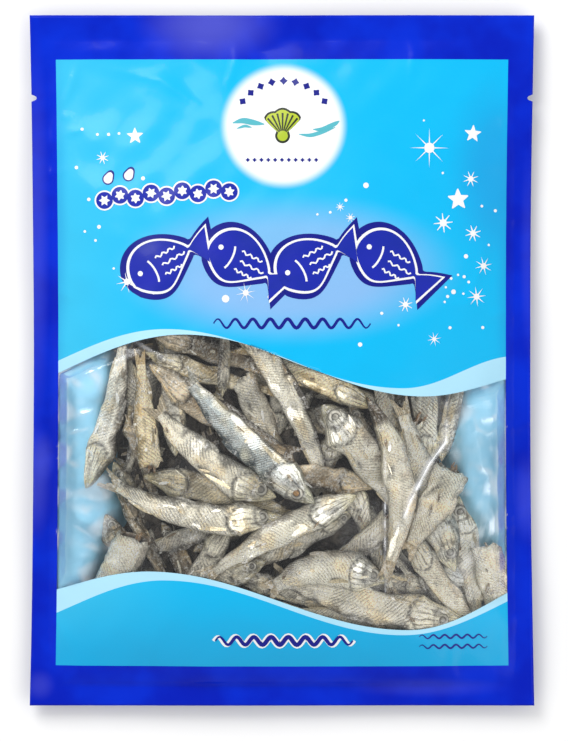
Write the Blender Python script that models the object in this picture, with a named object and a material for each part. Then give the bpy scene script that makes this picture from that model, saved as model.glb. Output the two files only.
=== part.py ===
# A pouch of dried anchovies, lying on its back with its clear window up.
# Metres, +Z up and +Y towards the pouch's top edge. The origin is on the table under its middle.
# The film is printed but for a window between two wave lines, where the fish show.

from math import cos, pi, radians, sin, sqrt

import bmesh
import bpy
import numpy as np
from mathutils import Vector

# The flat size of the pouch, its welded seals and the printed border round its panels
POUCH_WIDTH = 0.250
POUCH_HEIGHT = 0.342
SIDE_SEAL = 0.009
TOP_SEAL = 0.012
BOTTOM_SEAL = 0.010
SIDE_BORDER = 0.0125
TOP_BORDER = 0.022
BOTTOM_BORDER = 0.020
SEAL_THICKNESS = 0.0008

# How the filled pouch stands: the seals float above the table on the rounded back
SEAL_LIFT = 0.0075
SEAL_RIPPLE = 0.0010
FRONT_RISE = 0.031
BACK_DROP = 0.024
WAIST = 0.0020  # how far the filling pulls each long edge in

# Tear notches in both long edges
NOTCH_Y = 0.130
NOTCH_RADIUS = 0.0015
NOTCH_DEPTH = 0.0026

# Turning points of the four wave lines that bound the window, from left to right
UPPER_PANEL_LINE = ((-0.1642, -0.0143), (-0.0579, 0.0153), (0.0603, -0.0137), (0.1182, 0.0022))
WINDOW_TOP_LINE = ((-0.1691, -0.0220), (-0.0490, 0.0126), (0.0707, -0.0177), (0.1375, -0.0057))
WINDOW_BOTTOM_LINE = ((-0.1493, -0.1199), (-0.0653, -0.1037), (0.0633, -0.1328), (0.1474, -0.1046))
LOWER_PANEL_LINE = ((-0.1543, -0.1362), (-0.0579, -0.1080), (0.0608, -0.1353), (0.1523, -0.1085))

# The part of the window that the fish fill, and how the heap sits in the pouch there
HEAP_LEFT = -0.101
HEAP_RIGHT = 0.1095
FLOOR_SHARE = 0.32  # the heap's floor, as a share of the pouch's thickness above its back
CORE_DEPTH = 0.0070  # of the heap's core below the film
BARE_X, BARE_Y = 0.092, -0.070  # right of and above this corner no fish reach the film
BARE_DROP = 0.009
GAP = 0.0004

# Fish: the thickness of a dried body as a share of its depth, and how close the top ones lie to the film
FLATNESS = 0.50
FILM_GAP = 0.0006
SINK = -0.2  # how far below a fish's spine the next one starts, as a share of half its thickness
FISH_SIDES = 8

# Fish that show, the uppermost first. Each has the places of its snout and its tail, how far it bows
# to its left, the depth of its body, all in millimetres, and its roll in degrees from lying flat.
FISH = (
    ((44, -23), (50, -107), 15, 15, 10),
    ((9, -71), (-49, -8), 4, 15, 20),
    ((35, -67), (-39, -106), -2, 13, 0),
    ((50, -108), (-8, -112), -10, 17, 0),
    ((-1, -73), (-89, -58), 10, 13, 0),
    ((-6, -70), (-63, -23), 5, 13, 0),
    ((87, -126), (-2, -106), 4, 15, 0),
    ((-67, -49), (-69, 6), 0, 12, 0),
    ((-98, -61), (-79, 14), -3, 11, 25),
    ((20, -25), (57, -88), 4, 14, 0),
    ((12, -50), (-12, 4), 2, 9, 45),
    ((16, -45), (-14, 10), -4, 8, 55),
    ((87, -45), (66, -88), 3, 17, 0),
    ((85, -102), (60, -54), 0, 14, 0),
    ((98, -84), (106, -136), 2, 13, 0),
    ((66, -90), (98, -132), -2, 10, 0),
    ((90, -66), (96, -104), 0, 14, 0),
    ((72, -22), (55, -48), 0, 7, 40),
    ((82, -46), (94, 2), 0, 9, 35),
    ((74, -48), (72, 8), 0, 15, 0),
    ((43, -26), (-4, -4), 0, 11, 0),
    ((62, -40), (46, 2), 0, 10, 0),
    ((-22, -4), (2, -46), 0, 13, 0),
    ((-28, -16), (-28, 20), 0, 7, 45),
    ((-61, -4), (-6, -38), -2, 13, 15),
    ((-64, 7), (-22, -6), -2, 10, 0),
    ((-40, -64), (-74, -54), 0, 12, 0),
    ((-55, -40), (-56, 2), 0, 10, 0),
    ((-74, -76), (-100, -112), 3, 18, 0),
    ((-79, -68), (-56, -112), 0, 8, 45),
    ((-28, -84), (-54, -114), 2, 12, 0),
    ((-12, -98), (-44, -118), 0, 12, 0),
    ((31, -78), (-16, -98), 2, 10, 0),
    ((34, -64), (58, -94), 0, 9, 25),
    ((62, -84), (82, -126), -2, 10, 0),
    ((60, -134), (16, -124), 0, 10, 0),
    ((36, -28), (52, -60), 0, 10, 0),
    ((41, -60), (-2, -50), 0, 11, 0),
    ((-26, -76), (-60, -92), 0, 11, 0),
    ((-58, -86), (-38, -116), 0, 10, 0),
)

# Shares of a fish's length, and there its depth and its thickness as shares of their largest
STATION = (0.0, 0.06, 0.15, 0.28, 0.44, 0.60, 0.75, 0.88, 1.0)
DEPTH_AT = (0.10, 0.50, 0.82, 0.98, 1.0, 0.90, 0.64, 0.36, 0.85)
THICKNESS_AT = (0.15, 0.70, 1.0, 1.0, 0.98, 0.86, 0.60, 0.34, 0.16)
FORK = 0.05  # of the tail, as a share of the length
STEEPEST = 0.35  # slope of a spine where it dives under another fish

BORDER_BLUE = (0.004, 0.012, 0.46, 1.0)
PANEL_BLUE = (0.0, 0.46, 0.87, 1.0)
BAND_BLUE = (0.48, 0.82, 0.93, 1.0)
WINDOW_TINT = (0.32, 0.66, 0.80, 1.0)
FISH_SILVER = (0.50, 0.46, 0.37, 1.0)


def clear_scene():
    for thing in list(bpy.data.objects):
        bpy.data.objects.remove(thing)


def material(name, colour, roughness, metallic=0.0):
    made = bpy.data.materials.new(name)
    made.use_nodes = True
    shader = made.node_tree.nodes["Principled BSDF"]
    shader.inputs["Base Color"].default_value = colour
    shader.inputs["Roughness"].default_value = roughness
    shader.inputs["Metallic"].default_value = metallic
    made.diffuse_color = colour
    return made


def wave(turns, x):
    """Height at x of a wave line that eases from one turning point to the next."""
    for (x0, y0), (x1, y1) in zip(turns, turns[1:]):
        if x <= x1:
            return y0 + (y1 - y0) * (1 - cos(pi * (x - x0) / (x1 - x0))) / 2
    return turns[-1][1]


def fullness(x, y):
    """How full the pouch is, from 0 on the seals to 1 where it is thickest."""
    across = abs(x) / (POUCH_WIDTH / 2 - SIDE_SEAL)
    low = BOTTOM_SEAL - POUCH_HEIGHT / 2
    along = (y - low) / (POUCH_HEIGHT - TOP_SEAL - BOTTOM_SEAL)
    if across >= 1 or not 0 < along < 1:
        return 0.0
    rise, fall = 0.70, 1.05
    peak = rise / (rise + fall)
    lengthwise = (along / peak) ** rise * ((1 - along) / (1 - peak)) ** fall
    return (1 - across**2.4) ** 0.9 * lengthwise


def seal_height(x, y):
    """Middle of the film's two layers where they are welded."""
    sideways = sin(46 * y + 1.3) * 2 * x / POUCH_WIDTH
    lengthways = 0.6 * sin(38 * x - 0.7) * 2 * y / POUCH_HEIGHT
    return SEAL_LIFT + SEAL_RIPPLE * (sideways + lengthways)


def front(x, y):
    return seal_height(x, y) + SEAL_THICKNESS / 2 + FRONT_RISE * fullness(x, y)


def back(x, y):
    return max(0.0, seal_height(x, y) - SEAL_THICKNESS / 2 - BACK_DROP * fullness(x, y) ** 0.8)


def drawn_in(x, y):
    """Where a point of the flat pouch lies once the filling has pulled the long edges in."""
    return x * (1 - WAIST * (1 - (2 * y / POUCH_HEIGHT) ** 2) / (POUCH_WIDTH / 2))


def steps(start, end, count):
    """Places from start to end, with neither end among them."""
    return [start + (end - start) * k / (count + 1) for k in range(1, count + 1)]


def columns():
    edge, seal = POUCH_WIDTH / 2, POUCH_WIDTH / 2 - SIDE_SEAL
    border, notch = POUCH_WIDTH / 2 - SIDE_BORDER, POUCH_WIDTH / 2 - NOTCH_DEPTH - 0.001
    heap = [HEAP_LEFT, *steps(HEAP_LEFT, HEAP_RIGHT, 15), HEAP_RIGHT]
    return [-edge, -notch, -seal, -border, -0.106, *heap, border, seal, notch, edge]


def rows(x):
    """Heights of the grid's points in the column at x, from the bottom edge to the top edge."""
    bottom, top = -POUCH_HEIGHT / 2, POUCH_HEIGHT / 2
    level = 0.100  # above it every row is straight, as the notches need
    lines = [wave(line, x) for line in (LOWER_PANEL_LINE, WINDOW_BOTTOM_LINE, WINDOW_TOP_LINE, UPPER_PANEL_LINE)]
    low = [bottom, bottom + BOTTOM_SEAL, bottom + BOTTOM_BORDER]
    notch = [NOTCH_Y + NOTCH_RADIUS * share for share in (-1.0, -0.6, 0.0, 0.6, 1.0)]
    high = [level, 0.115, *notch, top - TOP_BORDER, top - TOP_SEAL, top]
    return [
        *low,
        *steps(low[-1], lines[0], 1),
        lines[0],
        lines[1],
        *steps(lines[1], lines[2], 11),
        lines[2],
        lines[3],
        *steps(lines[3], level, 5),
        *high,
    ]


# The grid's rows and columns that bound the window's heap, and the rows of faces of the two bands
WINDOW_ROWS = (5, 17)
HEAP_COLUMNS = (5, 21)
BAND_ROWS = (4, 17)


def notched(x, y):
    """Moves a point of a long edge into its tear notch."""
    share = (y - NOTCH_Y) / NOTCH_RADIUS
    if abs(abs(x) - POUCH_WIDTH / 2) > 1e-6 or abs(share) >= 1:
        return x
    return x - NOTCH_DEPTH * sqrt(1 - share**2) * (1 if x > 0 else -1)


def flat_grid():
    """The flat pouch as rows of (x, y) in each column."""
    return [[(notched(x, y), y) for y in rows(x)] for x in columns()]


def zone(column, row, count):
    """Material of a face of the film by its lower left corner: border, panel, band or window."""
    left = columns()[column]
    edge = POUCH_WIDTH / 2 - SIDE_BORDER
    if not -edge - 1e-6 < left < edge - 1e-6 or row < 2 or row >= count - 3:
        return 0
    if row in BAND_ROWS:
        return 2
    return 3 if WINDOW_ROWS[0] <= row < WINDOW_ROWS[1] else 1


def mesh_object(name, points, faces, materials, slots=None):
    mesh = bpy.data.meshes.new(name)
    mesh.from_pydata(points, [], faces)
    for one in materials:
        mesh.materials.append(one)
    if slots:
        mesh.polygons.foreach_set("material_index", slots)
    work = bmesh.new()
    work.from_mesh(mesh)
    bmesh.ops.recalc_face_normals(work, faces=work.faces)
    work.to_mesh(mesh)
    work.free()
    thing = bpy.data.objects.new(name, mesh)
    bpy.context.scene.collection.objects.link(thing)
    return thing


def placed(x, y, z):
    return (drawn_in(x, y), y, z)


def floor(x, y, lift=0.0):
    """Height of the pouch under the heap."""
    low, high = back(x, y), front(x, y)
    return low + (high - low) * FLOOR_SHARE + lift


def pouch(materials):
    """The filled pouch as one solid, open at the front where the fish show."""
    grid = flat_grid()
    wide, high = len(grid), len(grid[0])
    points, faces, slots = [], [], []
    index = {}

    def corner(side, i, j):
        if (side, i, j) not in index:
            x, y = grid[i][j]
            index[side, i, j] = len(points)
            points.append(placed(x, y, {"front": front, "back": back, "floor": floor}[side](x, y)))
        return index[side, i, j]

    def in_heap(i, j):
        return HEAP_COLUMNS[0] <= i < HEAP_COLUMNS[1] and WINDOW_ROWS[0] <= j < WINDOW_ROWS[1]

    def add(side, i, j, slot):
        ring = [(i, j), (i + 1, j), (i + 1, j + 1), (i, j + 1)]
        around = [corner(side, *at) for at in ring]
        faces.append(around[::-1] if side == "back" else around)
        slots.append(slot)

    def wall(upper, lower, start, end, slot):
        faces.append([corner(upper, *start), corner(lower, *start), corner(lower, *end), corner(upper, *end)])
        slots.append(slot)

    for i in range(wide - 1):
        for j in range(high - 1):
            add("floor" if in_heap(i, j) else "front", i, j, 3 if in_heap(i, j) else zone(i, j, high))
            add("back", i, j, zone(i, j, high) if zone(i, j, high) == 0 else 1)
    for i in range(wide - 1):
        wall("front", "back", (i, 0), (i + 1, 0), 0)
        wall("front", "back", (i, high - 1), (i + 1, high - 1), 0)
    for j in range(high - 1):
        wall("front", "back", (0, j), (0, j + 1), 0)
        wall("front", "back", (wide - 1, j), (wide - 1, j + 1), 0)
    for i in range(*HEAP_COLUMNS):
        wall("front", "floor", (i, WINDOW_ROWS[0]), (i + 1, WINDOW_ROWS[0]), 3)
        wall("front", "floor", (i, WINDOW_ROWS[1]), (i + 1, WINDOW_ROWS[1]), 3)
    for j in range(*WINDOW_ROWS):
        wall("front", "floor", (HEAP_COLUMNS[0], j), (HEAP_COLUMNS[0], j + 1), 3)
        wall("front", "floor", (HEAP_COLUMNS[1], j), (HEAP_COLUMNS[1], j + 1), 3)
    return mesh_object("pouch", points, faces, materials, slots)


def window_block(name, inset, bottom, top, look):
    """A closed block with the heap's outline, inset from it, between two heights worked out at each point."""
    grid = flat_grid()
    heap = [grid[i][WINDOW_ROWS[0] : WINDOW_ROWS[1] + 1] for i in range(HEAP_COLUMNS[0], HEAP_COLUMNS[1] + 1)]
    wide, high = len(heap), len(heap[0])
    for i in range(wide):
        heap[i] = [
            (x + inset * ((i == 0) - (i == wide - 1)), y + inset * 1.2 * ((j == 0) - (j == high - 1)))
            for j, (x, y) in enumerate(heap[i])
        ]
    points = [placed(x, y, make(x, y)) for make in (bottom, top) for column in heap for x, y in column]
    layer = wide * high

    def at(side, i, j):
        return side * layer + i * high + j

    faces = []
    for i in range(wide - 1):
        for j in range(high - 1):
            ring = [(i, j), (i + 1, j), (i + 1, j + 1), (i, j + 1)]
            faces.append([at(1, *p) for p in ring])
            faces.append([at(0, *p) for p in reversed(ring)])
    for i in range(wide - 1):
        for j in (0, high - 1):
            faces.append([at(0, i, j), at(0, i + 1, j), at(1, i + 1, j), at(1, i, j)])
    for j in range(high - 1):
        for i in (0, wide - 1):
            faces.append([at(0, i, j), at(0, i, j + 1), at(1, i, j + 1), at(1, i, j)])
    return mesh_object(name, points, faces, [look])


class Ceiling:
    """Lowest free height over the window. Each fish is hung under it and then lowers it."""

    def __init__(self, cell=0.002):
        self.xs = np.arange(-0.125, 0.1251, cell)
        self.ys = np.arange(-0.171, 0.1711, cell)
        self.free = np.array([[front(x, y) for y in self.ys] for x in self.xs]) - FILM_GAP

    def near(self, x, y, reach):
        return (self.xs[:, None] - x) ** 2 + (self.ys[None, :] - y) ** 2 < reach**2

    def room(self, x, y, half_width, half_height):
        """Highest middle that a stretch of fish can have here."""
        found = self.free[self.near(x, y, max(0.6 * half_width, 0.0022))]
        return float(found.min()) - half_height

    def lower(self, x, y, z, half_width, half_height):
        under = self.near(x, y, half_width)
        self.free[under] = np.minimum(self.free[under], z - SINK * half_height)


def spine(snout, tail, bow, shares):
    """Points in plan of a fish's bent spine."""
    start, end = (Vector(p) / 1000 for p in (snout, tail))
    along = (end - start).normalized()
    middle = (start + end) / 2 + Vector((-along.y, along.x)) * 2 * bow / 1000
    return [start * (1 - t) ** 2 + middle * 2 * t * (1 - t) + end * t * t for t in shares]


def half_sizes(depth, roll):
    """Half of a fish's width in plan and of its height at each station."""
    big, small = depth / 2000, depth / 2000 * FLATNESS
    c, s = abs(cos(radians(roll))), abs(sin(radians(roll)))
    width = [max(d * big * c, t * small * s) for d, t in zip(DEPTH_AT, THICKNESS_AT)]
    height = [max(d * big * s, t * small * c) for d, t in zip(DEPTH_AT, THICKNESS_AT)]
    return width, height


def hang(ceiling, points, width, height):
    """Heights of a fish's spine: as close under the ceiling as its steepest slope lets it lie."""
    room = [ceiling.room(p.x, p.y, w, h) for p, w, h in zip(points, width, height)]
    heights = [min(r + STEEPEST * (p - q).length for q, r in zip(points, room)) for p in points]
    for p, z, w, h in zip(points, heights, width, height):
        ceiling.lower(p.x, p.y, z, w, h)
    return heights


def fish(number, snout, tail, bow, depth, roll, ceiling, look):
    """One dried fish: rings round its bent spine, the last one drawn out into a forked tail."""
    plan = spine(snout, tail, bow, STATION)
    heights = hang(ceiling, plan, *half_sizes(depth, roll))
    centre = [Vector((drawn_in(p.x, p.y), p.y, z)) for p, z in zip(plan, heights)]
    points = []
    length = (centre[-1] - centre[0]).length
    for k, middle in enumerate(centre):
        along = (centre[min(k + 1, len(centre) - 1)] - centre[max(k - 1, 0)]).normalized()
        across = Vector((-along.y, along.x, 0)).normalized()
        up = along.cross(across)
        turn = radians(roll)
        deep = across * cos(turn) + up * sin(turn)
        thick = up * cos(turn) - across * sin(turn)
        for side in range(FISH_SIDES):
            angle = 2 * pi * side / FISH_SIDES
            reach = cos(angle) * DEPTH_AT[k] * depth / 2000
            swell = sin(angle) * THICKNESS_AT[k] * depth / 2000 * FLATNESS
            fork = FORK * length * abs(cos(angle)) if k == len(centre) - 1 else 0.0
            points.append(middle + deep * reach + thick * swell + along * fork)
    faces = [list(range(FISH_SIDES))[::-1], [len(points) - FISH_SIDES + s for s in range(FISH_SIDES)]]
    for k in range(len(centre) - 1):
        for side in range(FISH_SIDES):
            here, there = k * FISH_SIDES, (k + 1) * FISH_SIDES
            ahead = (side + 1) % FISH_SIDES
            faces.append([here + side, here + ahead, there + ahead, there + side])
    return mesh_object(f"fish_{number:02d}", points, faces, [look])


def apply_boolean(thing, operation, other=None, group=None):
    """Joins or trims a mesh, keeps the result and leaves no modifier behind."""
    step = thing.modifiers.new(operation, "BOOLEAN")
    step.operation = operation
    step.solver = "EXACT"
    if group is None:
        step.object = other
    else:
        step.operand_type = "COLLECTION"
        step.collection = group
    graph = bpy.context.evaluated_depsgraph_get()
    joined = bpy.data.meshes.new_from_object(thing.evaluated_get(graph))
    thing.modifiers.clear()
    thing.data = joined


def core_top(x, y):
    """Height of the core, which falls away in the corner that no fish reach."""
    bare = min(1.0, max(0.0, (x - BARE_X) / 0.008)) * min(1.0, max(0.0, (y - BARE_Y) / 0.012))
    return max(front(x, y) - CORE_DEPTH - BARE_DROP * bare, floor(x, y) + 0.001)


def anchovies(look):
    """The heap that shows in the window: a core with the upper fish fused on, trimmed to the window."""
    spread = 0.0012
    heap = window_block("anchovies", -spread, lambda x, y: floor(x, y) - spread, core_top, look)
    ceiling = Ceiling()
    group = bpy.data.collections.new("fish")
    for number, place in enumerate(FISH):
        one = fish(number, *place, ceiling, look)
        group.objects.link(one)
        bpy.context.scene.collection.objects.unlink(one)
    bpy.context.scene.collection.children.link(group)
    bpy.context.view_layer.update()
    apply_boolean(heap, "UNION", group=group)
    for one in list(group.objects):
        bpy.data.objects.remove(one)
    bpy.data.collections.remove(group)
    room = window_block("room", GAP, lambda x, y: floor(x, y, GAP), lambda x, y: front(x, y) + 0.01, look)
    bpy.context.view_layer.update()
    apply_boolean(heap, "INTERSECT", room)
    bpy.data.objects.remove(room)
    return heap


def main():
    clear_scene()
    film = [
        material("border_print", BORDER_BLUE, 0.25),
        material("panel_print", PANEL_BLUE, 0.25),
        material("band_print", BAND_BLUE, 0.25),
        material("window_film", WINDOW_TINT, 0.15),
    ]
    for solid in (pouch(film), anchovies(material("dried_fish", FISH_SILVER, 0.45, 0.2))):
        solid.data.shade_smooth()
        solid.data.set_sharp_from_angle(angle=radians(35))


main()
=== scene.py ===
import math
import random

import bpy
import numpy as np
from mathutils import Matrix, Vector


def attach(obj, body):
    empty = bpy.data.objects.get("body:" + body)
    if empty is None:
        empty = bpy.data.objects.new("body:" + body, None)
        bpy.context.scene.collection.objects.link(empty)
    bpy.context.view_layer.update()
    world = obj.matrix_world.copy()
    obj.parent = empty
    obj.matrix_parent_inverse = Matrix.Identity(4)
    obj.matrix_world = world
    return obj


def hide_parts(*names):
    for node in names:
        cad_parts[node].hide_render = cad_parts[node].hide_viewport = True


# A sealed pouch of dried anchovies, lying on its back on a pale floor and seen from straight above.
# Metres, +Z up, +Y to the pouch's top edge. Lists of places are in millimetres and go through mm.

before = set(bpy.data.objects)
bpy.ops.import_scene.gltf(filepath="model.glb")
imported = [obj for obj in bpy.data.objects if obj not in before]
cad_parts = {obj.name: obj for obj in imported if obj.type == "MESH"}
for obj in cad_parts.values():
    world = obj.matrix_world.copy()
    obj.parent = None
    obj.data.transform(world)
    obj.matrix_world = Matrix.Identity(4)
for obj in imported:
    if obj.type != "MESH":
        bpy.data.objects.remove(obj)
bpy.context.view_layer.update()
mm = 0.001

pouch = {
    "width": 250 * mm,
    "height": 342 * mm,
    "sideSeal": 9 * mm,
    "topSeal": 12 * mm,
    "bottomSeal": 10 * mm,
    "sideBorder": 12.5 * mm,
    "topBorder": 22 * mm,
    "bottomBorder": 20 * mm,
    "sealThickness": 0.8 * mm,
    "sealLift": 7.5 * mm,
    "sealRipple": 1.0 * mm,
    "frontRise": 31 * mm,
    "backDrop": 24 * mm,
    "fullness": {"sideways": 2.4, "crown": 0.9, "rise": 0.70, "fall": 1.05},  # fullest below the middle
    "waist": 2 * mm,  # how far the filling pulls each long edge in
    "notchY": 130 * mm,
    "notchRadius": 1.5 * mm,
    "notchDepth": 2.6 * mm,
}

# turning points of the printed wave lines, from left to right
waveLines = {
    "upperPanel": ((-164.2, -14.3), (-57.9, 15.3), (60.3, -13.7), (118.2, 2.2)),
    "windowTop": ((-169.1, -22.0), (-49.0, 12.6), (70.7, -17.7), (137.5, -5.7)),
    "windowBottom": ((-149.3, -119.9), (-65.3, -103.7), (63.3, -132.8), (147.4, -104.6)),
    "lowerPanel": ((-154.3, -136.2), (-57.9, -108.0), (60.8, -135.3), (152.3, -108.5)),
}

# folds and dents: points, height and half width in millimetres, and in the window how white the painted glint
# along each one shines
creases = {
    "window": (
        (((82, -20), (81, -40), (73, -50.5), (64, -67.5), (60.5, -76.5)), 1.2, 1.9, 1.0),
        (((-73.7, 9.6), (-56, -1.2)), 0.3, 1.0, 0.5),
        (((51, -39.3), (50.8, -80), (51, -113.5)), 0.45, 0.9, 0.55),
        (((-107, -1), (-92, -3), (-90, -10)), 0.5, 2.6, 0.30),
        (((-105, -27), (-93, -25)), 0.5, 1.4, 0.55),
        (((-106, -36), (-95, -33)), 0.4, 1.2, 0.40),
        (((108, -18), (110, -30)), 0.5, 1.3, 0.6),
        (((107, -44), (110, -50), (108, -57)), 0.6, 1.6, 0.7),
        (((96, -28), (97.5, -34), (103, -36), (108, -34)), 0.5, 1.5, 0.4),
        (((78, 5), (82, -8), (83, -22)), 0.5, 2.2, 0.25),
        (((-104, -81), (-90, -89)), 0.4, 1.2, 0.35),
        (((104, -74), (110, -82), (112, -92)), 0.5, 2.0, 0.3),
        (((-101, -2), (-92, -8), (-88, -16)), 0.4, 4.0, 0.55),
        (((-108, -8), (-98, -14)), 0.4, 3.0, 0.40),
        (((-106, -70), (-97, -74), (-91, -72)), 0.4, 3.6, 0.45),
        (((-104, -88), (-92, -92), (-84, -90)), 0.4, 3.0, 0.45),
        (((-108, -50), (-100, -52)), 0.3, 2.6, 0.35),
        (((98, -8), (104, -16)), 0.3, 3.2, 0.35),
        (((97, -52), (104, -56), (106, -66)), 0.4, 3.0, 0.45),
        (((100, -30), (108, -27)), 0.4, 2.8, 0.55),
        (((70, 10), (76, -12), (77, -34)), 0.2, 6.5, 0.20),
        (((86, -110), (97, -92), (100, -74)), 0.2, 7.0, 0.16),
    ),
    "print": (
        (((-110, 125), (-104, 138), (-102, 146)), 0.5, 1.6),
        (((-110, 122), (-107, 120)), 0.4, 1.5),
        (((-107, 112), (-99, 114.5)), 0.5, 1.5),
        (((-88.5, 144.6), (-60, 138.7), (-43, 126.3)), 0.5, 2.4),
        (((78, 27), (93, 28), (101, 50), (99, 56)), 0.5, 2.2),
        (((-104, -81), (-88, -89)), 0.4, 1.4),
        (((-118, -78), (-108, -92), (-98, -112)), 0.6, 3.0),
        (((104, -88), (114, -82), (121, -80)), 0.6, 2.6),
        (((-121, 40), (-112, 34), (-104, 30)), 0.4, 2.0),
        (((121, 20), (112, 24), (104, 22)), 0.4, 2.2),
        (((-120, -52), (-112, -48), (-104, -50)), 0.4, 2.0),
        (((-70, -162), (-66, -150), (-64, -138)), 0.4, 2.0),
        (((40, -164), (43, -150), (42, -138)), 0.5, 2.4),
        (((88, -166), (84, -152), (86, -141)), 0.5, 2.0),
        (((-24, 164), (-22, 150), (-27, 136)), 0.4, 2.0),
        (((62, 164), (66, 152), (64, 138)), 0.4, 2.2),
        (((-124, 96), (-116, 92), (-110, 94)), 0.6, 2.4),
        (((-124, 12), (-115, 8), (-110, 10)), 0.6, 2.2),
        (((-124, -38), (-117, -44), (-112, -42)), 0.6, 2.6),
        (((-124, -118), (-114, -126), (-106, -140)), 0.6, 2.4),
        (((124, 74), (116, 70), (110, 72)), 0.5, 2.4),
        (((124, -30), (117, -34), (112, -32)), 0.6, 2.2),
        (((124, -72), (117, -77), (110, -75)), 0.8, 1.8),
        (((124, -122), (116, -128), (108, -140)), 0.5, 2.4),
    ),
}


def waveY(line, x):
    # Height of a wave line at x, both in metres.
    turns = [(a * mm, b * mm) for a, b in waveLines[line]]
    x = np.asarray(x, float)
    y = np.full_like(x, turns[-1][1])
    for (x0, y0), (x1, y1) in reversed(list(zip(turns, turns[1:]))):
        y = np.where(x <= x1, y0 + (y1 - y0) * (1 - np.cos(np.pi * (x - x0) / (x1 - x0))) / 2, y)
    return y


def fullness(x, y):
    # How full the pouch is, from 0 on the seals to 1 where it is thickest.
    across = np.abs(x) / (pouch["width"] / 2 - pouch["sideSeal"])
    low = pouch["bottomSeal"] - pouch["height"] / 2
    along = (y - low) / (pouch["height"] - pouch["topSeal"] - pouch["bottomSeal"])
    form = pouch["fullness"]
    rise, fall = form["rise"], form["fall"]
    peak = rise / (rise + fall)
    inside = (across < 1) & (along > 0) & (along < 1)
    across = np.where(inside, across, 0.5)
    along = np.where(inside, along, 0.5)
    lengthwise = (along / peak) ** rise * ((1 - along) / (1 - peak)) ** fall
    return np.where(inside, (1 - across ** form["sideways"]) ** form["crown"] * lengthwise, 0.0)


def sealZ(x, y):
    # The middle of the welded film. It ripples more towards the edges.
    sideways = np.sin(46 * y + 1.3) * 2 * x / pouch["width"]
    lengthways = 0.6 * np.sin(38 * x - 0.7) * 2 * y / pouch["height"]
    return pouch["sealLift"] + pouch["sealRipple"] * (sideways + lengthways)


def drawnIn(x, y):
    # The filling draws the long edges in, most at half height.
    return x * (1 - pouch["waist"] * (1 - (2 * y / pouch["height"]) ** 2) / (pouch["width"] / 2))


def spreadOut(x, y):
    # The place of the flat pouch that drawnIn puts at x and y.
    return x / (1 - pouch["waist"] * (1 - (2 * y / pouch["height"]) ** 2) / (pouch["width"] / 2))


def waviness(x, y, wavelength, seed, count=9):
    # Smooth seeded unevenness of about one unit, the same on each run.
    rng = random.Random(seed)
    total = 0.0
    for _ in range(count):
        turn = rng.uniform(0, 2 * math.pi)
        pitch = 2 * math.pi / (wavelength * rng.uniform(0.7, 1.5))
        total = total + np.sin(pitch * (x * math.cos(turn) + y * math.sin(turn)) + rng.uniform(0, 6.28))
    return total / math.sqrt(count / 2)


def lineDistance(x, y, points):
    # Distance to a bent line, and how far along it the nearest point is, from 0 to 1.
    best = np.full(np.shape(x), 9.0)
    place = np.zeros(np.shape(x))
    spans = len(points) - 1
    for k, ((ax, ay), (bx, by)) in enumerate(zip(points, points[1:])):
        ax, ay, bx, by = ax * mm, ay * mm, bx * mm, by * mm
        dx, dy = bx - ax, by - ay
        share = np.clip(((x - ax) * dx + (y - ay) * dy) / (dx**2 + dy**2), 0, 1)
        far = np.hypot(x - ax - share * dx, y - ay - share * dy)
        place = np.where(far < best, (k + share) / spans, place)
        best = np.minimum(best, far)
    return best, place


def creaseZ(x, y, group):
    # How far the folds and dents of the window or the print stand up.
    total = 0.0
    for points, height, width, *_ in creases[group]:
        far, place = lineDistance(x, y, points)
        taper = np.sin(np.pi * np.clip(place, 0.04, 0.96)) ** 0.5
        total = total + height * mm * taper * np.clip(1 - far / (2 * width * mm), 0, 1) ** 1.6
    return total


wrinkles = {
    "pulled": (0.42, 21 * mm, 17 * mm),  # height in millimetres, wavelength and reach, along the sides
    "gathered": (0.42, 26 * mm, 20 * mm),  # the same along the top and the bottom
    "slack": ((0.16, 46 * mm), (0.025, 15 * mm)),
    "seal": (0.10, 22 * mm),
}


def wrinkleZ(x, y):
    # Fine waves of the film: pulled in along the seals, slack over the panels.
    sideways = pouch["width"] / 2 - pouch["sideSeal"] - np.abs(x)
    up = pouch["height"] / 2 - pouch["topSeal"] - y
    down = y + pouch["height"] / 2 - pouch["bottomSeal"]
    inside = np.clip(np.minimum(np.minimum(sideways, up), down) / (6 * mm), 0, 1)
    height, length, reach = wrinkles["pulled"]
    pulled = height * waviness(x * 0.15, y, length, 5) * np.exp(-np.clip(sideways, 0, 1) / reach)
    height, length, reach = wrinkles["gathered"]
    ends = np.clip(np.minimum(up, down), 0, 1)
    gathered = height * waviness(x, y * 0.15, length, 6) * np.exp(-ends / reach)
    slack = 0.0
    for k, (height, length) in enumerate(wrinkles["slack"]):
        slack = slack + height * waviness(x, y, length, 7 + k)
    height, length = wrinkles["seal"]
    return mm * (inside * (pulled + gathered + slack) + height * waviness(x, y, length, 9))


def baseZ(x, y):
    # The front film before the fish shape it.
    front = sealZ(x, y) + pouch["sealThickness"] / 2 + pouch["frontRise"] * fullness(x, y)
    return front + wrinkleZ(x, y) + creaseZ(x, y, "print")


def backZ(x, y):
    # The back film, pressed flat where it rests.
    low = sealZ(x, y) - pouch["sealThickness"] / 2 - pouch["backDrop"] * fullness(x, y) ** 0.8
    return np.maximum(0.0, low) + mm * 0.12 * waviness(x, y, 30 * mm, 11) * np.clip(low / (4 * mm), 0, 1)


# Materials

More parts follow.
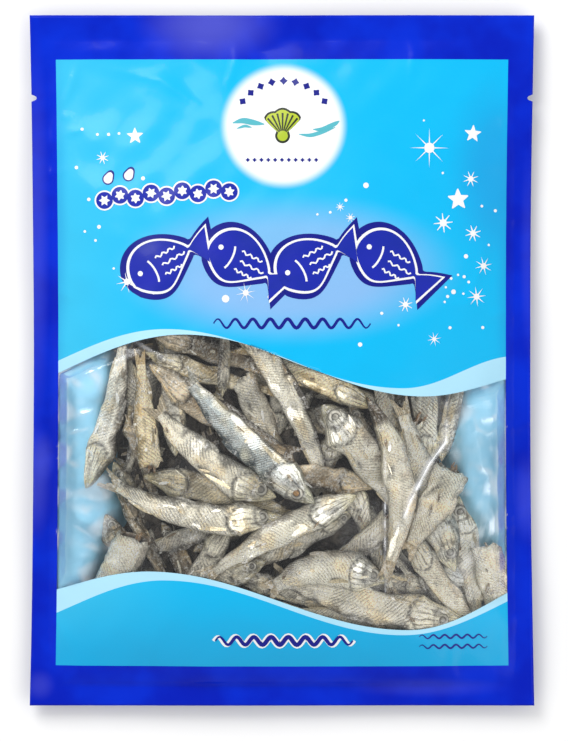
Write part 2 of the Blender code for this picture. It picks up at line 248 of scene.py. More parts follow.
tones = {
    "border": (0, 30, 188),
    "borderLight": (0, 46, 214),
    "borderReflection": (104, 108, 216),
    "panel": (0, 190, 247),
    "panelLight": (62, 198, 240),
    "panelLow": (22, 172, 226),
    "panelShade": (26, 150, 222),
    "band": (178, 230, 252),
    "lining": (164, 226, 254),
    "white": (253, 254, 255),
    "glow": (138, 190, 242),
    "ink": (14, 24, 140),
    "inkBright": (30, 38, 186),
    "swoosh": (92, 190, 204),
    "shell": (206, 216, 62),
    "shellLine": (44, 52, 36),
    "inkDeep": (10, 42, 150),
    "shellGreen": (160, 190, 40),
    # painted shade: dark colours of the bed, for the deeper fish in shade
    "bed": (104, 96, 85),
    "bedShade": (40, 35, 31),
}


def linear(colour, share=1.0):
    # Linear RGBA of an sRGB colour given from 0 to 255.
    parts = [c / 255 for c in colour]
    parts = [c / 12.92 if c <= 0.04045 else ((c + 0.055) / 1.055) ** 2.4 for c in parts]
    return tuple(share * c for c in parts) + (1.0,)


def ink(colour, share=0.79):
    # The same for what is printed, which takes some light away.
    return linear(colour, share)


class Nodes:
    # Short names for building a material's nodes.

    def __init__(self, name, **sockets):
        self.material = bpy.data.materials.new(name)
        self.material.use_nodes = True
        self.tree = self.material.node_tree
        self.shader = self.tree.nodes["Principled BSDF"]
        self.output = self.tree.nodes["Material Output"]
        for key, value in sockets.items():
            self.shader.inputs[key.replace("_", " ")].default_value = value

    def add(self, kind, settings=None, **inputs):
        made = self.tree.nodes.new("ShaderNode" + kind)
        for key, value in (settings or {}).items():
            setattr(made, key, value)
        for key, value in inputs.items():
            numbered = key[0] == "i" and key[1:].isdigit()
            self.feed(made.inputs[int(key[1:]) if numbered else key.replace("_", " ")], value)
        return made

    def feed(self, socket, value):
        if isinstance(value, bpy.types.NodeSocket):
            self.tree.links.new(value, socket)
        else:
            socket.default_value = value

    def math(self, operation, a, b=0.0, clamp=False):
        return self.add("Math", {"operation": operation, "use_clamp": clamp}, i0=a, i1=b).outputs[0]

    def plus(self, a, b):
        return self.math("ADD", a, b)

    def times(self, a, b):
        return self.math("MULTIPLY", a, b)

    def mix(self, share, a, b, blend="MIX"):
        made = self.add("Mix", {"data_type": "RGBA", "blend_type": blend})
        for place, value in ((0, share), (6, a), (7, b)):
            self.feed(made.inputs[place], value)
        return made.outputs[2]

    def spread(self, value, low, high, start=0.0, end=1.0):
        ranged = self.add("MapRange", {"interpolation_type": "SMOOTHSTEP"}, Value=value)
        for key, number in (("From Min", low), ("From Max", high), ("To Min", start), ("To Max", end)):
            ranged.inputs[key].default_value = number
        return ranged.outputs[0]

    def noise(self, vector, scale, detail=3.0, roughness=0.5):
        made = self.add("TexNoise", Vector=vector, Scale=scale, Detail=detail, Roughness=roughness)
        return made.outputs[0]

    def place(self):
        return self.add("TexCoord").outputs["Object"]

    def link(self, output, socket):
        self.tree.links.new(output, self.shader.inputs[socket] if isinstance(socket, str) else socket)

    def bump(self, height, strength, distance):
        made = self.add("Bump", Height=height, Strength=strength, Distance=distance)
        self.link(made.outputs[0], "Normal")


def printSockets(roughness=0.24):
    # Ink under film, glossy but without a mirror's glare.
    return {"Roughness": roughness, "Coat_Weight": 0.10, "Coat_Roughness": 0.06, "Specular_IOR_Level": 0.16}


def ovalAround(n, place, cx, cy, halfWidth, halfHeight):
    # 1 on an oval round a place, in millimetres, less inside it and more outside.
    apart = n.add("VectorMath", {"operation": "SUBTRACT"}, i0=place, i1=(cx * mm, cy * mm, 0)).outputs[0]
    flat = (1 / (halfWidth * mm), 1 / (halfHeight * mm), 0)
    scaled = n.add("VectorMath", {"operation": "MULTIPLY"}, i0=apart, i1=flat).outputs[0]
    return n.add("VectorMath", {"operation": "LENGTH"}, i0=scaled).outputs["Value"]


# soft ovals of other colours on the print, some of them painted reflection and painted shade: middle, half
# width and half height in millimetres, and strength
printPatches = {
    # painted reflection: pale lavender patches where the glossy border catches the light
    "paintedReflection": (
        (-36, 166, 40, 22, 0.56),
        (-122, -60, 9, 34, 0.26),
        (-122, 60, 8, 110, 0.22),
        (121, -68, 8, 26, 0.22),
        (-118, -48, 7, 15, 0.20),
        (72, -162, 46, 6, 0.16),
        (-120, -161, 9, 9, 0.20),
        (122, 52, 5, 60, 0.12),
    ),
    # painted shade where the film curves away near the sides
    "shade": (
        (106, 92, 28, 56, 0.55),
        (-113, 60, 9, 120, 0.45),
        (112, 30, 8, 60, 0.35),
    ),
    "title": (3, 45, 90, 40),
    "aboveTitle": (-20, 82, 90, 60, 0.25),
    "disc": (0.8, 115.6, 30, 30),
}


def borderPrint():
    # Royal blue with a few soft pale patches of painted reflection, where the glossy film catches the light.
    n = Nodes("borderPrint", **{**printSockets(0.26), "Coat_Weight": 0.05, "Specular_IOR_Level": 0.07})
    place = n.place()
    cloud = n.spread(n.noise(place, 26), 0.36, 0.64)
    colour = n.mix(cloud, ink(tones["border"]), ink(tones["borderLight"]))
    # painted reflection: each oval mixes the border towards pale lavender
    for *oval, share in printPatches["paintedReflection"]:
        paintedReflection = ovalAround(n, place, *oval)
        colour = n.mix(n.spread(paintedReflection, 1.0, 0.1, 0.0, share), colour, ink(tones["borderReflection"]))
    n.link(colour, "Base Color")
    n.bump(n.noise(place, 420, 2), 0.10, 0.0004)
    return n.material


def panelPrint():
    # Sky blue, paler to the left and behind the title, with a white glow in its upper middle and painted
    # shade at its sides.
    n = Nodes("panelPrint", **printSockets())
    place = n.place()
    split = n.add("SeparateXYZ", Vector=place)
    x, y = split.outputs[0], split.outputs[1]
    colour = n.mix(n.spread(x, -0.135, -0.03), ink(tones["panelLight"]), ink(tones["panel"]))
    colour = n.mix(n.spread(y, -0.105, -0.15), colour, ink(tones["panelLow"]))

    title = ovalAround(n, place, *printPatches["title"])
    colour = n.mix(n.spread(title, 1.0, 0.45), colour, ink(tones["glow"]))
    *oval, share = printPatches["aboveTitle"]
    above = ovalAround(n, place, *oval)
    colour = n.mix(n.spread(above, 1.0, 0.2, 0.0, share), colour, ink(tones["panelLight"]))
    # painted shade: darker blue ovals where the film curves away
    for *oval, share in printPatches["shade"]:
        turned = ovalAround(n, place, *oval)
        colour = n.mix(n.spread(turned, 1.0, 0.2, 0.0, share), colour, ink(tones["panelShade"]))
    disc = ovalAround(n, place, *printPatches["disc"])
    colour = n.mix(n.spread(disc, 1.07, 0.88), colour, ink(tones["white"]))
    n.link(colour, "Base Color")
    n.bump(n.noise(place, 420, 2), 0.10, 0.0004)
    return n.material


def plainPrint(name, colour, roughness=0.25, other=None, share=0.79):
    # One ink, a little uneven or clouded with a second one.
    n = Nodes(name, **printSockets(roughness))
    place = n.place()
    second = ink(other, share) if other else ink(colour, 0.94 * share)
    n.link(n.mix(n.noise(place, 60), ink(colour, share), second), "Base Color")
    n.bump(n.noise(place, 420, 2), 0.08, 0.0004)
    return n.material


filmGloss = {"Roughness": 0.13, "Metallic": 0.75, "Specular_IOR_Level": 0.8}


def clearFilm():
    # Clear glossy film: little is added to what lies under it but glints, with painted glints and glare that
    # make it whiter on sharp folds and beside the fish.
    n = Nodes("clearFilm", Base_Color=(0.95, 0.97, 1.0, 1.0), **filmGloss)
    paintedGlint = n.add("Attribute", {"attribute_name": "paintedGlint"}).outputs["Fac"]
    facing = n.add("Fresnel", IOR=1.42).outputs[0]
    place = n.place()
    haze = n.spread(n.noise(place, 34, 2), 0.48, 0.80, 0.0, 0.03)
    share = n.math("ADD", n.times(facing, 1.1), n.plus(n.times(paintedGlint, 0.75), haze), True)
    n.bump(n.noise(place, 160, 2), 0.08, 0.001)
    clear = n.add("BsdfTransparent", Color=(1.0, 1.0, 1.0, 1.0))
    both = n.add("MixShader", Fac=share, i1=clear.outputs[0], i2=n.shader.outputs[0])
    n.tree.links.new(both.outputs[0], n.output.inputs["Surface"])
    return n.material


def shadedCore():
    # The scrappy bed that shows in the gaps between the fish, dark as painted shade of the deeper fish.
    n = Nodes("shadedCore", Roughness=0.75)
    place = n.place()
    scraps = n.noise(place, 150, 5, 0.65)
    colour = n.mix(n.spread(scraps, 0.40, 0.60), linear(tones["bedShade"]), linear(tones["bed"]))
    n.link(colour, "Base Color")
    n.bump(scraps, 1.0, 0.004)
    return n.material


skinLook = {
    "rows": (0.52, 0.150, 0.80),  # slant, spacing and darkness of the rows of scales
    "crossRows": (-0.60, 0.135, 0.17),
    "groove": (0.12, 0.105, 0.085, 1.0),
    "headLines": (0.29, (0.13, 0.11, 0.075, 1.0)),  # spacing and colour
    "fibres": (0.75, (0.15, 0.125, 0.075, 1.0)),  # strength and colour of the dry strings of the head
    "grain": (1250, 0.84, 1.50),  # scale, darkest and lightest
    "flakes": (560, 0.65, (0.98, 0.94, 0.82, 1.0)),  # scale, strength and colour
    "pits": (0.6, (0.085, 0.07, 0.05, 1.0)),
    "silver": (820, 0.9, (0.98, 0.97, 0.93, 1.0)),
    "roughness": (0.46, 0.26),  # of dry skin and of silver
    "relief": 0.7 * mm,
}


def fishSkin():
    # Colour comes with the mesh. The nodes add slanted rows of scales, lines on the head and a silvery sheen.
    n = Nodes("fishSkin", Specular_IOR_Level=0.6)
    skin = n.add("Attribute", {"attribute_name": "skin"})
    along = n.add("UVMap", {"uv_map": "body"}).outputs[0]
    place = n.place()
    split = n.add("SeparateXYZ", Vector=along)
    u, v = split.outputs[0], split.outputs[1]
    wobble = n.times(n.noise(place, 190, 4), 0.20)

    def rows(slant, spacing):
        phase = n.plus(n.plus(n.times(u, 0.84), n.times(v, slant)), wobble)
        return n.math("SINE", n.times(phase, 2 * math.pi / spacing))

    slant, spacing, rowDark = skinLook["rows"]
    first = rows(slant, spacing)
    slant, spacing, crossDark = skinLook["crossRows"]
    second = rows(slant, spacing)
    scaly = skin.outputs["Alpha"]
    strength = n.times(scaly, n.spread(n.noise(place, 100, 3), 0.38, 0.56, 0.28, 1.0))
    groove = skinLook["groove"]
    colour = n.mix(n.times(n.spread(first, -1.0, 0.1, rowDark, 0.0), strength), skin.outputs["Color"], groove)
    colour = n.mix(n.times(n.spread(second, -1.0, -0.3, crossDark, 0.0), strength), colour, groove)

    stretched = n.add("VectorMath", {"operation": "MULTIPLY"}, i0=along, i1=(1.0, 9.0, 1.0)).outputs[0]
    fibre = n.noise(stretched, 1.0, 3, 0.6)
    dark, tone = skinLook["fibres"]
    bare = n.math("POWER", n.math("SUBTRACT", 1.0, scaly), 2.0)
    colour = n.mix(n.times(n.spread(fibre, 0.36, 0.44, dark, 0.0), bare), colour, tone)

    spacing, tone = skinLook["headLines"]
    onHead = n.spread(scaly, 0.0, 0.15, 1.0, 0.0)
    lines = n.math("SINE", n.times(n.plus(v, n.times(wobble, 1.3)), 2 * math.pi / spacing))
    lineStrength = n.times(n.spread(n.noise(place, 130, 3), 0.36, 0.60, 0.25, 0.80), onHead)
    colour = n.mix(n.times(n.spread(lines, -1.0, -0.35, 1.0, 0.0), lineStrength), colour, tone)

    scale, darkest, lightest = skinLook["grain"]
    grain = n.noise(place, scale, 3, 0.7)
    colour = n.mix(1.0, colour, n.spread(grain, 0.39, 0.61, darkest, lightest), "MULTIPLY")
    scale, most, tone = skinLook["flakes"]
    colour = n.mix(n.spread(n.noise(place, scale, 4, 0.7), 0.55, 0.62, 0.0, most), colour, tone)
    most, tone = skinLook["pits"]
    colour = n.mix(n.spread(n.noise(stretched, 0.45, 4, 0.7), 0.62, 0.70, 0.0, most), colour, tone)
    scale, most, tone = skinLook["silver"]
    patchy = n.plus(n.times(onHead, 0.08), n.spread(n.noise(place, 110, 3), 0.46, 0.62, 0.0, 0.75))
    silver = n.times(n.spread(n.noise(place, scale, 3, 0.65), 0.48, 0.58, 0.0, most), patchy)
    colour = n.mix(silver, colour, tone)
    n.link(colour, "Base Color")
    n.link(n.times(silver, 0.8), "Metallic")
    n.link(n.spread(silver, 0.0, 0.7, *skinLook["roughness"]), "Roughness")

    scales = n.times(n.plus(first, n.times(second, 0.6)), n.times(strength, 0.28))
    n.bump(n.plus(scales, n.plus(n.times(grain, 0.5), n.times(fibre, 0.8))), 0.9, skinLook["relief"])
    return n.material


def fishEye():
    # The eye's rings come as colours too, and the lens is cloudy.
    n = Nodes("fishEye", Roughness=0.2, Coat_Weight=0.8, Coat_Roughness=0.08)
    skin = n.add("Attribute", {"attribute_name": "skin"})
    place = n.place()
    cloud = n.spread(n.noise(place, 700, 3), 0.42, 0.66, 0.0, 0.45)
    n.link(n.mix(cloud, skin.outputs["Color"], (0.13, 0.10, 0.07, 1.0)), "Base Color")
    return n.material


# Meshes


def meshObject(name, points, faces, materials, slots=None, rounded=True):
    mesh = bpy.data.meshes.new(name)
    mesh.from_pydata([tuple(map(float, p)) for p in points], [], [tuple(map(int, f)) for f in faces])
    for material in materials:
        mesh.materials.append(material)
    if slots is not None:
        mesh.polygons.foreach_set("material_index", np.asarray(slots, dtype=np.int32))
    if rounded:
        mesh.shade_smooth()
    mesh.validate()
    mesh.update()
    made = bpy.data.objects.new(name, mesh)
    bpy.context.scene.collection.objects.link(made)
    return made


def quads(wide, high):
    # Faces of a grid of points stored column by column.
    i, j = np.meshgrid(np.arange(wide - 1), np.arange(high - 1), indexing="ij")
    corner = i * high + j
    return np.stack([corner, corner + high, corner + high + 1, corner + 1], axis=-1).reshape(-1, 4)


def ringFaces(rings, count):
    # Faces of a tube whose points are stored ring by ring.
    faces = []
    for start in range(0, (rings - 1) * count, count):
        for k in range(count):
            n = (k + 1) % count
            faces.append((start + k, start + n, start + count + n, start + count + k))
    return faces


def between(stops, step):
    # Places from each stop to the next, evenly and no further apart than step.
    found = [stops[0]]
    for a, b in zip(stops, stops[1:]):
        count = max(1, round((b - a) / step))
        found += [a + (b - a) * k / count for k in range(1, count + 1)]
    return np.array(found)


def bandRows(x, curves, counts):
    # Heights of the grid points in each column at x, between curves that bound the bands.
    rows, owner = [curves[0](x)], []
    for band, (low, high, count) in enumerate(zip(curves, curves[1:], counts)):
        for k in range(1, count + 1):
            rows.append(low(x) + (high(x) - low(x)) * k / count)
            owner.append(band)
    return np.stack(rows, axis=1), owner


def filmPoints(x, y, z):
    # Points of a grid over the pouch, whose long edges are drawn in.
    return np.stack([drawnIn(x, y), y, z], axis=-1).reshape(-1, 3)


def notchX(x, y):
    # Draws the columns by a long edge into its tear notch.
    share = np.clip(1 - ((y - pouch["notchY"]) / pouch["notchRadius"]) ** 2, 0, 1)
    zone = 4 * mm
    edge = pouch["width"] / 2
    outer = np.clip((np.abs(x) - (edge - zone)) / zone, 0, 1)
    return x - np.sign(x) * outer * pouch["notchDepth"] * np.sqrt(share)


def level(y):
    # A straight line across the pouch, as bandRows takes it.
    return lambda x: np.full_like(x, y)


def curve(line, shift=0.0):
    # A printed wave line, raised by a shift.
    return lambda x: waveY(line, x) + shift


# The fish that show, the uppermost first: snout and tail, how far the body bows to its left, its depth,
# its roll from lying flat, the side of its back (1 left, -1 right), its tone and what is missing.
frontFish = (
    ((42, -18), (50, -108), 13, 16, 8, 1, "shrunken", "eye"),
    ((16, -70), (-50, -5), 3, 18, 12, 1, "blue", ""),
    ((37, -66), (-41, -108), -2, 15.5, 0, -1, "bright", "eye"),
    ((51, -109), (-9, -115), -10, 20, 0, -1, "bright", ""),
    ((0, -76), (-90, -57), 9, 16.5, 0, -1, "silver", ""),
    ((-3, -67), (-65, -20), 6, 18, 0, -1, "silver", ""),
    ((-66, -2), (10, -48), -3, 15, 12, 1, "brown", "eye"),
    ((90, -128), (-6, -105), 4, 19, 0, 1, "silver", ""),
    ((-62, -74), (-71, 6), 1, 13, 0, 1, "gold", "head"),
    ((-98, -63), (-79, 16), -4, 14.5, 18, -1, "grey", "eye"),
    ((20, -22), (65, -81), 2, 20, 0, 1, "bright", ""),
    ((46, -63), (-18, -50), 0, 13, 0, 1, "brown", "eye"),
    ((-30, 34), (26, -74), 6, 15, 0, 1, "darkBack", "eye"),
    ((66, -66), (18, -104), 3, 14, 10, 1, "grey", "head"),
    ((32, -56), (56, -118), 0, 11, 15, -1, "silver", "eye"),
    ((-62, -66), (-106, -136), 3, 20, 0, 1, "bright", "head"),
    ((92, -36), (60, -96), 3, 21, 0, 1, "pale", "head"),
    ((86, -104), (58, -18), 0, 18, 0, -1, "bright", ""),
    ((96, -72), (110, -146), 2, 18, 0, 1, "pale", "head"),
    ((63, -84), (104, -142), -2, 13, 10, 1, "pale", "eye"),
    ((89, -67), (98, -132), 0, 16, 0, -1, "bright", ""),
    ((74, -20), (53, -56), 0, 8, 30, 1, "pale", "both"),
    ((80, -50), (93, 12), 0, 9, 25, -1, "silver", ""),
    ((71, -58), (72, 18), 0, 15, 0, 1, "silver", "eye"),
    ((46, -23), (-24, 8), 0, 12, 0, 1, "gold", "eye"),
    ((60, -50), (42, 14), 0, 11, 10, -1, "silver", ""),
    ((-30, 12), (8, -66), 0, 15, 0, 1, "pale", "head"),
    ((-30, -18), (-27, 34), 0, 7, 40, 1, "silver", ""),
    ((-68, 4), (0, -16), -2, 11, 0, 1, "gold", ""),
    ((-66, 15), (6, -8), 0, 13, 0, 1, "brown", "eye"),
    ((-69, -57), (12, -80), 3, 16, 0, 1, "gold", "eye"),
    ((-53, -47), (-56, 22), 0, 12, 0, 1, "bright", ""),
    ((-82, -62), (-52, -120), 0, 8, 35, 1, "brown", ""),
    ((-26, -80), (-62, -132), 2, 12, 0, 1, "silver", "eye"),
    ((-8, -98), (-66, -126), 0, 12, 0, -1, "pale", ""),
    ((36, -74), (-24, -104), 2, 10, 0, 1, "silver", ""),
    ((31, -58), (66, -110), 0, 9, 20, 1, "silver", ""),
    ((60, -78), (90, -134), -2, 11, 0, -1, "silver", ""),
    ((70, -133), (0, -122), 0, 11, 0, 1, "pale", ""),
    ((34, -20), (58, -80), 0, 11, 0, 1, "brown", ""),
    ((-20, -76), (-76, -98), 0, 12, 0, 1, "grey", "head"),
    ((-60, -80), (-34, -130), 0, 11, 0, -1, "brown", ""),
    ((36, -14), (-14, 6), 0, 13, 0, 1, "brown", "both"),
    ((-84, -50), (-60, -104), 0, 12, 10, 1, "grey", ""),
    ((-40, -12), (-66, 22), 3, 11, 30, 1, "gold", "head"),
    ((4, -30), (30, 12), 0, 10, 40, -1, "grey", ""),
    ((16, -84), (60, -58), 0, 11, 30, -1, "grey", ""),
    ((-44, -94), (2, -70), 0, 11, 35, 1, "brown", ""),
    ((78, -112), (20, -96), 4, 12, 20, 1, "grey", ""),
    ((-24, 14), (-84, 2), 2, 13, 0, 1, "brown", ""),
    ((-62, 18), (-26, -26), 0, 12, 20, -1, "gold", ""),
    ((-46, -2), (-30, -60), 0, 13, 15, 1, "brown", ""),
    ((-76, -22), (-62, -72), 0, 12, 25, 1, "brown", ""),
    ((34, -84), (-18, -92), 0, 14, 10, 1, "brown", ""),
    ((28, -34), (10, -82), 0, 13, 20, 1, "grey", ""),
    ((-88, -76), (-66, -118), 0, 12, 0, 1, "brown", ""),
    ((-72, -50), (-78, 8), 0, 12, 10, 1, "silver", "head"),
    ((-47, 14), (-66, -42), 0, 13, 0, 1, "grey", ""),
    ((-30, 2), (-46, -50), 0, 13, 0, -1, "silver", ""),
    ((10, -86), (58, -100), 0, 12, 0, 1, "silver", ""),
    ((-50, -106), (-76, -58), 0, 13, 0, 1, "grey", ""),
    ((-20, -106), (28, -122), 0, 12, 0, 1, "pale", ""),
    ((-36, 8), (-28, -52), 0, 12, 20, 1, "grey", "eye"),
    ((-4, -40), (4, 14), 0, 12, 20, -1, "silver", "eye"),
    ((-70, -70), (-44, -116), 0, 12, 10, 1, "gold", "eye"),
)

# edges of the heap of fish: heights and how far left and right it reaches there, in millimetres
heapEdge = {
    "left": (
        (-125, -99), (-105, -97), (-86, -90), (-72, -84), (-60, -88),
        (-45, -92), (-30, -91), (-10, -87), (20, -85),
    ),
    "right": ((-125, 110), (-105, 109), (-88, 105), (-76, 96), (-66, 91), (-45, 87), (-20, 90), (20, 90)),
}

fishLook = {
    "flatness": 0.48,  # thickness of a body as a share of its depth
    "bluntness": 0.60,  # below 1 the flanks are flatter and the edges rounder
    "filmGap": 0.5 * mm,
    "touch": 0.15 * mm,
    "deepest": 19 * mm,  # of the lowest layer below the film
    "under": 84,  # loose fish below those that show
    "finest": 33,  # fish with the finest mesh, the uppermost ones
    "brightest": 26,  # fish that lie right under the film
    "paintedLight": (1.28, 0.76),  # painted light: how much brighter those are painted, and how much darker all others, which lie deeper
    "headless": 0.29,  # share of the length at which a lost head is torn off
    "tailless": 0.80,
    "burst": 0.22,  # share of the fish whose belly has burst open
    "fineMesh": (52, 26),  # stations along a body and sides round it
    "plainMesh": (26, 16),
    "underMesh": (22, 14),
    "underArea": ((-88, 100), (-124, 4)),
    "underTones": ("silver", "grey", "brown", "silver", "grey", "pale", "gold", "blue"),
    # brown flesh of a broken end, painted darker in its deeper rings as shade
    "fleshAndShade": ((0.26, 0.19, 0.12, 0.0), (0.07, 0.05, 0.035, 0.0), (0.025, 0.018, 0.014, 0.0)),
    "flakes": ((0.97, 0.95, 0.88), (0.92, 0.86, 0.70), (0.60, 0.50, 0.32), (0.20, 0.15, 0.09)),
    "seed": 23,
}

fishHead = {
    "eye": (0.105, 0.14),  # share of the length, and of the way from the belly at -1 to the back at 1
    "eyeRadius": 0.20,  # as a share of the depth, like the next one
    "socket": 0.235,
    "cloudyEye": (0.80, 0.77, 0.66),
    "amberEye": (0.90, 0.50, 0.16),
    "plateEnd": (0.276, 0.085, 0.12),  # share of the length at its rearmost, its bow and how low that is
    "mouth": 0.52,  # how far below the flank's middle the mouth starts
    "jaw": (0.17, 0.11),  # its joint and its length
}

# heights and depths on a dried body in millimetres
fishRelief = {
    "wrinkles": 0.32,
    "furrows": 0.13,
    "grain": 0.08,
    "sideGroove": (0.10, 0.16, 0.45),  # place from belly to back, width and depth
    "bellyGroove": (-0.42, 0.14, 0.25),
    "gash": 1.5,
    "plate": 0.34,
    "cheek": 0.16,
    "ridges": 0.12,  # on the plate and the cheek
    "eyeHollow": 0.6,
    "mouth": 0.45,
}

# painted shade: how much darker the grooves and edges of a body are painted, from 0 to 1; a burst belly's
# dark is its inside with painted shade
fishShade = {
    "plateEdge": 0.92,
    "shrunkenEdge": 0.2,
    "side": 0.35,
    "mouth": 0.70,
    "gillCover": 0.40,
    "socket": 0.75,
    "gash": 0.86,
    "rim": 0.70,
}

# at each share of the length the half depths of back and belly and the thickness, as shares of their largest
bodyForm = (
    (0.00, 0.05, 0.06, 0.10),
    (0.03, 0.28, 0.28, 0.42),
    (0.08, 0.52, 0.54, 0.72),
    (0.15, 0.78, 0.88, 0.95),
    (0.22, 0.96, 1.10, 1.04),
    (0.27, 0.92, 1.00, 1.00),
    (0.33, 0.84, 0.88, 0.90),
    (0.46, 0.86, 0.86, 0.88),
    (0.60, 0.76, 0.74, 0.78),
    (0.74, 0.56, 0.54, 0.58),
    (0.84, 0.40, 0.38, 0.42),
    (0.90, 0.34, 0.32, 0.26),
)

# linear colours of back, flank, belly and head for each tone, then how plain and how dense its scales are
fishTones = {
    "silver": ((0.20, 0.19, 0.16), (0.88, 0.83, 0.69), (0.97, 0.92, 0.77), (0.95, 0.90, 0.74), 0.80, 0.84),
    "pale": ((0.52, 0.46, 0.36), (0.98, 0.92, 0.75), (0.98, 0.93, 0.77), (0.97, 0.91, 0.73), 0.55, 1.10),
    "bright": ((0.42, 0.38, 0.31), (0.98, 0.94, 0.80), (0.98, 0.95, 0.82), (0.98, 0.96, 0.86), 0.55, 1.05),
    "blue": ((0.08, 0.11, 0.12), (0.60, 0.65, 0.64), (0.90, 0.88, 0.77), (0.78, 0.80, 0.76), 0.80, 1.35),
    "grey": ((0.18, 0.165, 0.14), (0.68, 0.64, 0.54), (0.84, 0.79, 0.65), (0.84, 0.79, 0.64), 0.60, 1.00),
    "gold": ((0.32, 0.25, 0.13), (0.90, 0.78, 0.52), (0.97, 0.87, 0.62), (0.93, 0.84, 0.60), 0.60, 0.95),
    "brown": ((0.07, 0.055, 0.04), (0.33, 0.265, 0.18), (0.66, 0.55, 0.39), (0.62, 0.52, 0.37), 0.40, 1.00),
    "darkBack": ((0.05, 0.043, 0.033), (0.78, 0.74, 0.62), (0.97, 0.93, 0.80), (0.90, 0.85, 0.70), 0.6, 1.15),
    "shrunken": ((0.56, 0.50, 0.40), (0.95, 0.90, 0.76), (0.98, 0.93, 0.76), (0.95, 0.90, 0.74), 0.4, 1.20),
}


def heapReach(side, y):
    # How far the heap reaches to a side at each height, both in metres.
    return np.interp(y, [a * mm for a, b in heapEdge[side]], [b * mm for a, b in heapEdge[side]])


class Ceiling:
    # Lowest free height over the pouch. Each fish hangs under it and then lowers it.

    def __init__(self):
        self.cell = 1.0 * mm
        half, tall = pouch["width"] / 2, pouch["height"] / 2
        self.xs = np.arange(-half, half + 0.1 * mm, self.cell)
        self.ys = np.arange(-tall, tall + 0.1 * mm, self.cell)
        x, y = np.meshgrid(self.xs, self.ys, indexing="ij")
        self.film = baseZ(x, y)
        self.ground = backZ(x, y)
        self.free = self.film - fishLook["filmGap"]
        self.top = np.full_like(self.free, -1.0)

    def patch(self, x, y, reach):
        # The cells round a place, with a dome over them.
        i0, i1 = np.searchsorted(self.xs, (x - reach, x + reach))
        j0, j1 = np.searchsorted(self.ys, (y - reach, y + reach))
        box = (slice(i0, max(i1, i0 + 1)), slice(j0, max(j1, j0 + 1)))
        far = np.hypot(self.xs[box[0]][:, None] - x, self.ys[box[1]][None, :] - y) / reach
        return box, np.sqrt(np.clip(1 - far**2, 0, 1)), far < 1

    def room(self, x, y, reach, half):
        # The highest free place for the middle of something as wide as reach and half as thick as given.
        box, dome, near = self.patch(x, y, reach)
        if not near.any():
            return float(self.free[box].min()) - half
        return float((self.free[box] - half * dome)[near].min())

    def hang(self, plan, reach, half, snug, steepest):
        # Heights of the spine, as close under the ceiling as the steepest slope lets it lie.
        room = np.array([self.room(p[0], p[1], r * snug, h) for p, r, h in zip(plan, reach, half)])
        apart = np.hypot(plan[:, None, 0] - plan[None, :, 0], plan[:, None, 1] - plan[None, :, 1])
        heights = (room[None, :] + steepest * apart).min(axis=1)
        for _ in range(6):
            eased = heights.copy()
            eased[1:-1] = (heights[:-2] + 2 * heights[1:-1] + heights[2:]) / 4
            heights = np.minimum(eased, heights)
        ground = np.array([self.patch(p[0], p[1], 2 * mm)[0] for p in plan], dtype=object)
        floorZ = np.array([float(self.ground[tuple(box)].max()) for box in ground]) + half + 0.6 * mm
        return np.maximum(heights, floorZ)

    def lower(self, plan, heights, reach, half):
        # Takes the place that a fish fills.
        for p, z, r, h in zip(plan, heights, reach, half):
            box, dome, near = self.patch(p[0], p[1], r)
            under = np.where(near, z - h * dome - fishLook["touch"], 9.0)
            over = np.where(near, z + h * dome, -1.0)
            self.free[box] = np.minimum(self.free[box], under)
            self.top[box] = np.maximum(self.top[box], over)


def bend(snout, tail, bow, shares):
    # A line from snout to tail that bows to its left, in metres.
    start, end = np.array(snout) * mm, np.array(tail) * mm
    along = (end - start) / np.linalg.norm(end - start)
    middle = (start + end) / 2 + np.array((-along[1], along[0])) * 2 * bow * mm
    t = np.asarray(shares)[:, None]
    return start * (1 - t) ** 2 + middle * 2 * t * (1 - t) + end * t * t


def formAt(t, column):
    # A column of bodyForm at any share of the length.
    return np.interp(t, [row[0] for row in bodyForm], [row[column] for row in bodyForm])


def smooth(value, low, high):
    # From 0 at low to 1 at high, with soft ends.
    share = np.clip((value - low) / (high - low), 0, 1)
    return share * share * (3 - 2 * share)


def bell(value, middle, width):
    # 1 at the middle and less to both sides.
    return np.exp(-(((value - middle) / width) ** 2))


def plateEnd(c):
    # Share of the length at which the gill plate ends, at each place from belly to back.
    rearmost, bow, low = fishHead["plateEnd"]
    return rearmost - bow * (c + low) ** 2


def spanned(way, reach):
    # Reaches in one direction at each station of a fish.
    return way[:, None, :] * reach[..., None]


def bare(colour):
    # Colours without scales, which the fourth value tells the skin's nodes.
    return np.concatenate([colour, np.zeros((*colour.shape[:-1], 1))], axis=-1).reshape(-1, 4)


class Shoal:
    # Gathers the points, faces, colours and patterns of many fish for one mesh.

    def __init__(self):
        self.points, self.faces, self.slots, self.skin, self.maps = [], [], [], [], []
        self.count = 0

    def add(self, points, faces, skin, maps, slot=0):
        points = np.asarray(points).reshape(-1, 3)
        self.points.append(points)
        self.faces += [tuple(int(k) + self.count for k in face) for face in faces]
        self.slots += [slot] * len(faces)
        self.skin.append(np.broadcast_to(skin, (len(points), 4)))
        self.maps.append(np.broadcast_to(maps, (len(points), 2)))
        self.count += len(points)

    def build(self, name, materials):
        points = np.concatenate(self.points)
        x, y = spreadOut(points[:, 0], points[:, 1]), points[:, 1]
        lowest = backZ(x, y) + 0.7 * mm
        points[:, 2] = np.clip(points[:, 2], lowest, np.maximum(baseZ(x, y) - 0.3 * mm, lowest))
        made = meshObject(name, points, self.faces, materials, self.slots)
        mesh = made.data
        skin = mesh.color_attributes.new("skin", "FLOAT_COLOR", "POINT")
        skin.data.foreach_set("color", np.concatenate(self.skin).astype(np.float32).ravel())
        pattern = mesh.uv_layers.new(name="body")
        corners = np.empty(len(mesh.loops), dtype=np.int32)
        mesh.loops.foreach_get("vertex_index", corners)
        pattern.data.foreach_set("uv", np.concatenate(self.maps)[corners].astype(np.float32).ravel())
        return made


